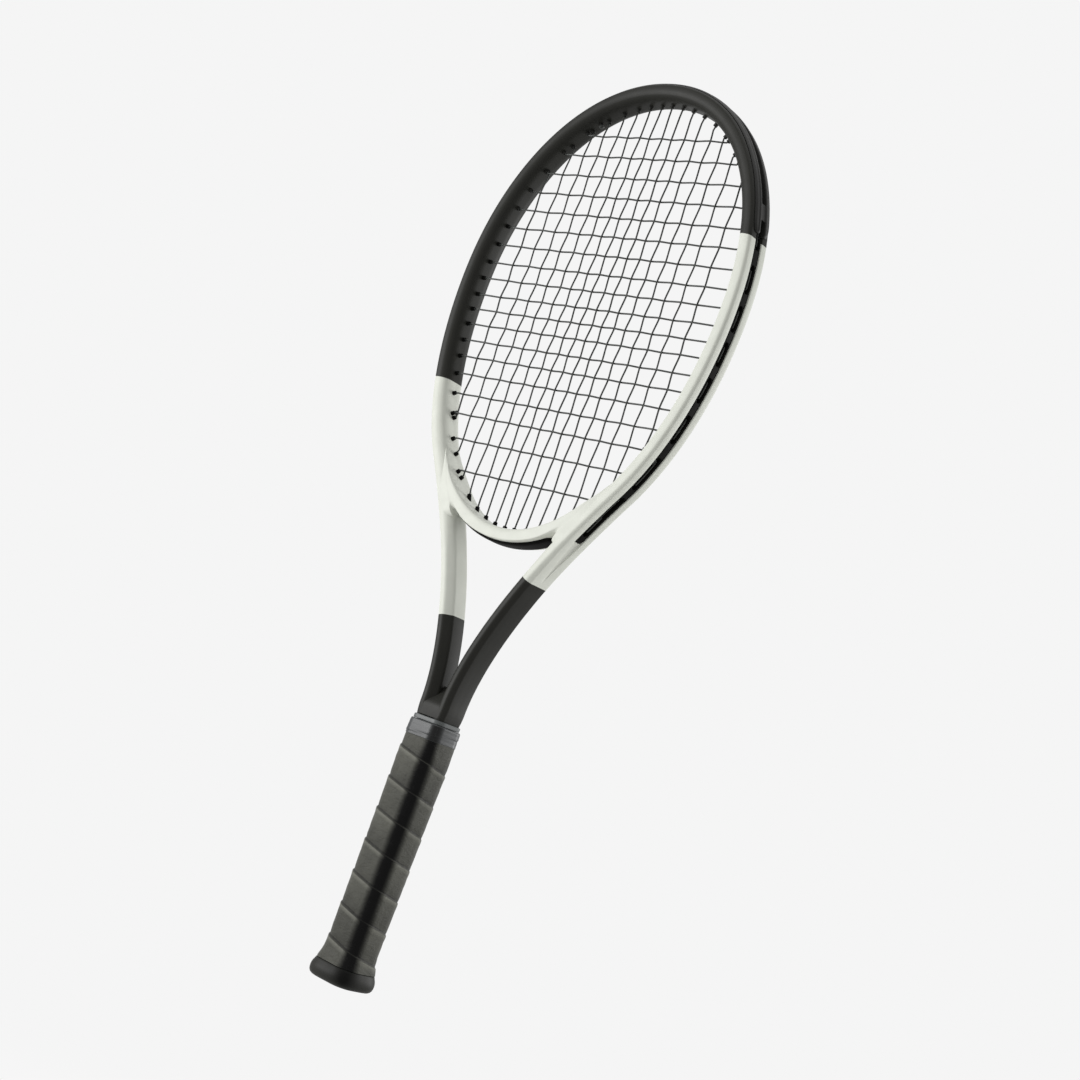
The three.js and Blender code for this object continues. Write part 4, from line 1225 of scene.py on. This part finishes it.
# lacquer: off-white between the two split lines of each side, and charcoal above and below them
def makeLacquer():
    f = Finish("lacquer", 1500.0, 0.15, Specular_IOR_Level=0.11)
    axes = f.add("SeparateXYZ", {0: f.where}).outputs
    x, z = axes["X"], axes["Z"]
    right = f.maths("GREATER_THAN", x, 0.0)
    left = f.minus(1.0, right)
    passed = []
    for (px, pz), (wx, wz) in paint.splits:
        size = math.hypot(wx, wz)
        along = f.plus(f.times(f.minus(x, px * mm), wx / size), f.times(f.minus(z, pz * mm), wz / size))
        passed.append(f.spread(along, -paint.soft * mm, paint.soft * mm))
    overHead, overShaft = (f.plus(f.times(passed[i + 1], right), f.times(passed[i], left)) for i in (0, 2))
    white = f.times(overShaft, f.minus(1.0, overHead), clamp=True)
    darkShare = f.minus(1.0, white)
    # painted glint: small flakes in the charcoal are painted a lighter colour
    flakes = f.add("TexVoronoi", {"Vector": f.where, "Scale": 2600.0})
    glint = f.times(f.maths("LESS_THAN", flakes.outputs["Distance"], 0.16), 0.15)
    dark = f.blend(glint, f.mottled(*paint.charcoal, -0.4, 1.2), linear(paint.flake))
    tone = f.blend(white, dark, f.mottled(*paint.white, -0.4, 1.2))
    tone = f.blend(f.times(darkShare, f.rubbed(0.3, Scale=90.0, Sharpness=2.0)), tone, linear(paint.worn))
    rough = f.plus(f.between(f.mottle, 0.36, 0.44), f.times(darkShare, 0.06))
    return f.done(tone, rough, f.height, 0.03, 0.00004)


# bumper: satin nylon whose rear half is stippled with small dots
def makeBumperFinish():
    f = Finish("bumperNylon", 900.0, 0.2, Specular_IOR_Level=0.16)
    finer = f.add("Mapping", {"Vector": f.pattern, "Scale": (700.0, 700.0, 1.0)}).outputs[0]
    dots = f.add("TexVoronoi", {"Vector": finer, "Scale": 1.0, "Randomness": 0.0}, voronoi_dimensions="2D")
    back = f.maths("GREATER_THAN", f.axis(f.where, "Y"), 0.0047)
    raised = f.times(f.spread(dots.outputs["Distance"], 0.18, 0.42, 1.0, 0.0), back)
    tone = f.blend(f.times(raised, 0.6), f.mottled("20201e", "191918", -0.5, 1.3), linear("44443f"))
    tone = f.blend(f.rubbed(0.4, Sharpness=3.0), tone, linear("484843"))
    height = f.plus(f.times(f.height, 0.25), raised)
    return f.done(tone, f.between(f.mottle, 0.38, 0.5), height, 0.35, 0.0002)


# strings: round plastic cord with a faint lengthwise twist
def makeCordFinish():
    f = Finish("stringCord", 1200.0, 0.1, Specular_IOR_Level=0.2)
    waves = {"Vector": f.where, "Scale": 900.0, "Distortion": 1.5, "Detail": 1.0}
    twist = f.add("TexWave", waves, bands_direction="DIAGONAL").outputs["Fac"]
    height = f.plus(f.height, f.times(twist, 0.4))
    tone = f.mottled("383a38", "2e302e", -0.3, 1.2)
    return f.done(tone, f.between(f.mottle, 0.28, 0.4), height, 0.1, 0.00005)


# grip colours: the high colour is partly random smear and partly painted light, the lip colour a painted
# highlight, the furrow colour painted shade, the deep colour a painted dark sheen
leather = Sizes(
    base="2c2c28", high="4e4e48", deep="020202", lip="74746c", furrow="0a0a09", worn="36362f",
)


# grip: soft synthetic leather with grain and small creases; painted light makes each lap paler towards its
# raised edge, with a painted highlight on that edge, painted shade in the groove below it and a painted dark
# sheen where it is seen straight on
def makeLeather():
    f = Finish("gripLeather", 900.0, 0.5, Specular_IOR_Level=0.1, Sheen_Weight=0.15, Sheen_Roughness=0.35)
    stretch = f.add("Mapping", {"Vector": f.where, "Scale": (1.0, 1.0, 2.6), "Rotation": (0.0, 0.0, 0.4)})
    folds = f.noise(stretch.outputs[0], 95.0, 5.0, 0.62, 0.6)
    smear = f.noise(f.where, 30.0, 4.0, 0.6)
    # the share of a turn: 0 at the edge of the tape, 1 at the next edge above it
    turned = f.maths("FRACT", f.maths("DIVIDE", f.axis(f.pattern, "X"), grip.pitch * mm))
    # painted light: besides the random smear, each lap grows paler up towards its raised edge
    high = f.plus(f.between(smear, -0.4, 1.4), f.spread(turned, 0.1, 0.85, -0.1, 0.3))
    tone = f.blend(high, linear(leather.base), linear(leather.high))
    # painted highlight along the raised edge of each lap
    tone = f.blend(f.times(f.spread(turned, 0.86, 0.97), 0.5), tone, linear(leather.lip))
    # painted shade in the groove just above the edge of each lap
    furrow = f.spread(f.maths("ABSOLUTE", f.minus(turned, 0.06)), 0.01, 0.035, 0.6, 0.0)
    tone = f.blend(furrow, tone, linear(leather.furrow))
    tone = f.blend(f.rubbed(0.5, Scale=140.0, Sharpness=5.0), tone, linear(leather.worn))
    tone = f.blend(f.facing(0.04, 0.3), linear(leather.deep), tone)  # painted sheen: the grip is darkest where it is seen straight on
    height = f.plus(f.times(f.height, 0.35), f.times(folds, 1.6))
    height = f.plus(height, f.times(f.spread(folds, 0.46, 0.5), 0.25))
    return f.done(tone, f.between(smear, 0.42, 0.62), height, 0.6, 0.0005)


# two close colors each, for the mottle of the plain pieces
black, slate, grey = ("0f0f0e", "0b0b0a"), ("3e4041", "343637"), ("555858", "4a4d4d")
coal, foam = ("282825", "20201e"), ("8f8a7c", "7d786b")
finishes = {  # one for each slot
    "lacquer": makeLacquer(),
    "nylon": plainFinish("stripNylon", black, 0.03, 0.56, 700.0, 0.2, 0.08, 0.00006, "1c1c1a"),
    "charcoal": makeBumperFinish(),
    "cord": makeCordFinish(),
    "leather": makeLeather(),
    # the last colour of the tape and of the cap is a painted dark sheen, shown where they are seen straight
    # on
    "tape": plainFinish("vinylTape", slate, 0.22, 0.36, 500.0, 0.1, 0.12, 0.0001, "454644", "080808"),
    "rubber": plainFinish("collarRubber", grey, 0.2, 0.38, 900.0, 0.3, 0.12, 0.00006, "3b3c3a"),
    "cap": plainFinish("capGloss", coal, 0.09, 0.45, 1100.0, 0.3, 0.1, 0.00006, "30302c", "050504"),
}
palletFoam = plainFinish("palletFoam", foam, 0.5, 0.8, 700.0, 1.0, 0.6, 0.0004)
nodeFinish = {"pallet_front": palletFoam, "pallet_back": palletFoam}
for piece, _, slotName, node in dressing:
    piece.data.materials.clear()
    piece.data.materials.append(finishes[slotName])
    nodeFinish[node] = finishes[slotName]
for name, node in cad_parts.items():
    for place in node.material_slots:
        place.material = nodeFinish[name]
print("materials mixed")

# studio

studio = Sizes(
    background="f5f5f5", light="f4f4f2", fill=0.62, floorHeight=-0.3, floorSize=1.0, floor="f4f4f4",
    fade=(0.3, 0.95, 0.55, 1.0),  # between two distances, the backdrop's share goes from one to the other
    aim=(0, 0, 0.36),
    lamps=(  # name, place, width, height, watts
        ("frontLeft", (-1.4, -1.5, 0.5), 0.5, 1.2, 36),
        ("backRight", (0.95, 1.8, 0.6), 0.55, 1.4, 30),
        ("overhead", (0.1, -0.2, 2.2), 1.6, 1.6, 10),
    ),
)


def addLamps():
    for name, place, width, height, watts in studio.lamps:
        data = bpy.data.lights.new(name, "AREA")
        data.shape, data.size, data.size_y, data.energy = "RECTANGLE", width, height, watts
        lamp = bpy.data.objects.new(name, data)
        scene.collection.objects.link(lamp)
        lamp.location = place
        way = Vector(studio.aim) - lamp.location
        lamp.rotation_euler = way.to_track_quat("-Z", "Y").to_euler()


def cleared(owner):
    owner.use_nodes = True
    owner.node_tree.nodes.clear()
    return Tree(owner.node_tree)


def addWorld():
    scene.world = bpy.data.worlds.new("studio")
    t = cleared(scene.world)
    fill = t.add("Background", {"Color": linear(studio.light), "Strength": studio.fill})
    shown = t.add("Background", {"Color": linear(studio.background), "Strength": 1.0})
    mix = t.add("MixShader", {0: t.seen(), 1: fill.outputs[0], 2: shown.outputs[0]})
    t.add("OutputWorld", {0: mix.outputs[0]})


def addFloor():
    place = (0, 0, studio.floorHeight)
    floor = added(bpy.ops.mesh.primitive_plane_add, size=2 * studio.floorSize, location=place)
    floor.name = "studioFloor"
    material = bpy.data.materials.new("studioFloor")
    t = cleared(material)
    place = t.add("TexCoord").outputs["Object"]
    flat = t.add("Mapping", {"Vector": place, "Scale": (1.0, 1.0, 0.0)}).outputs[0]
    far = t.add("VectorMath", {0: flat}, operation="LENGTH").outputs["Value"]
    fade = t.spread(far, *studio.fade)
    lit = t.add("BsdfDiffuse", {"Color": linear(studio.floor)})
    shown = t.add("Emission", {"Color": linear(studio.background), "Strength": 1.0})
    mix = t.add("MixShader", {0: t.times(t.seen(), fade), 1: lit.outputs[0], 2: shown.outputs[0]})
    t.add("OutputMaterial", {0: mix.outputs[0]})
    floor.data.materials.append(material)


addLamps()
addWorld()
addFloor()
scene.view_settings.view_transform = "Standard"
print("studio lit")
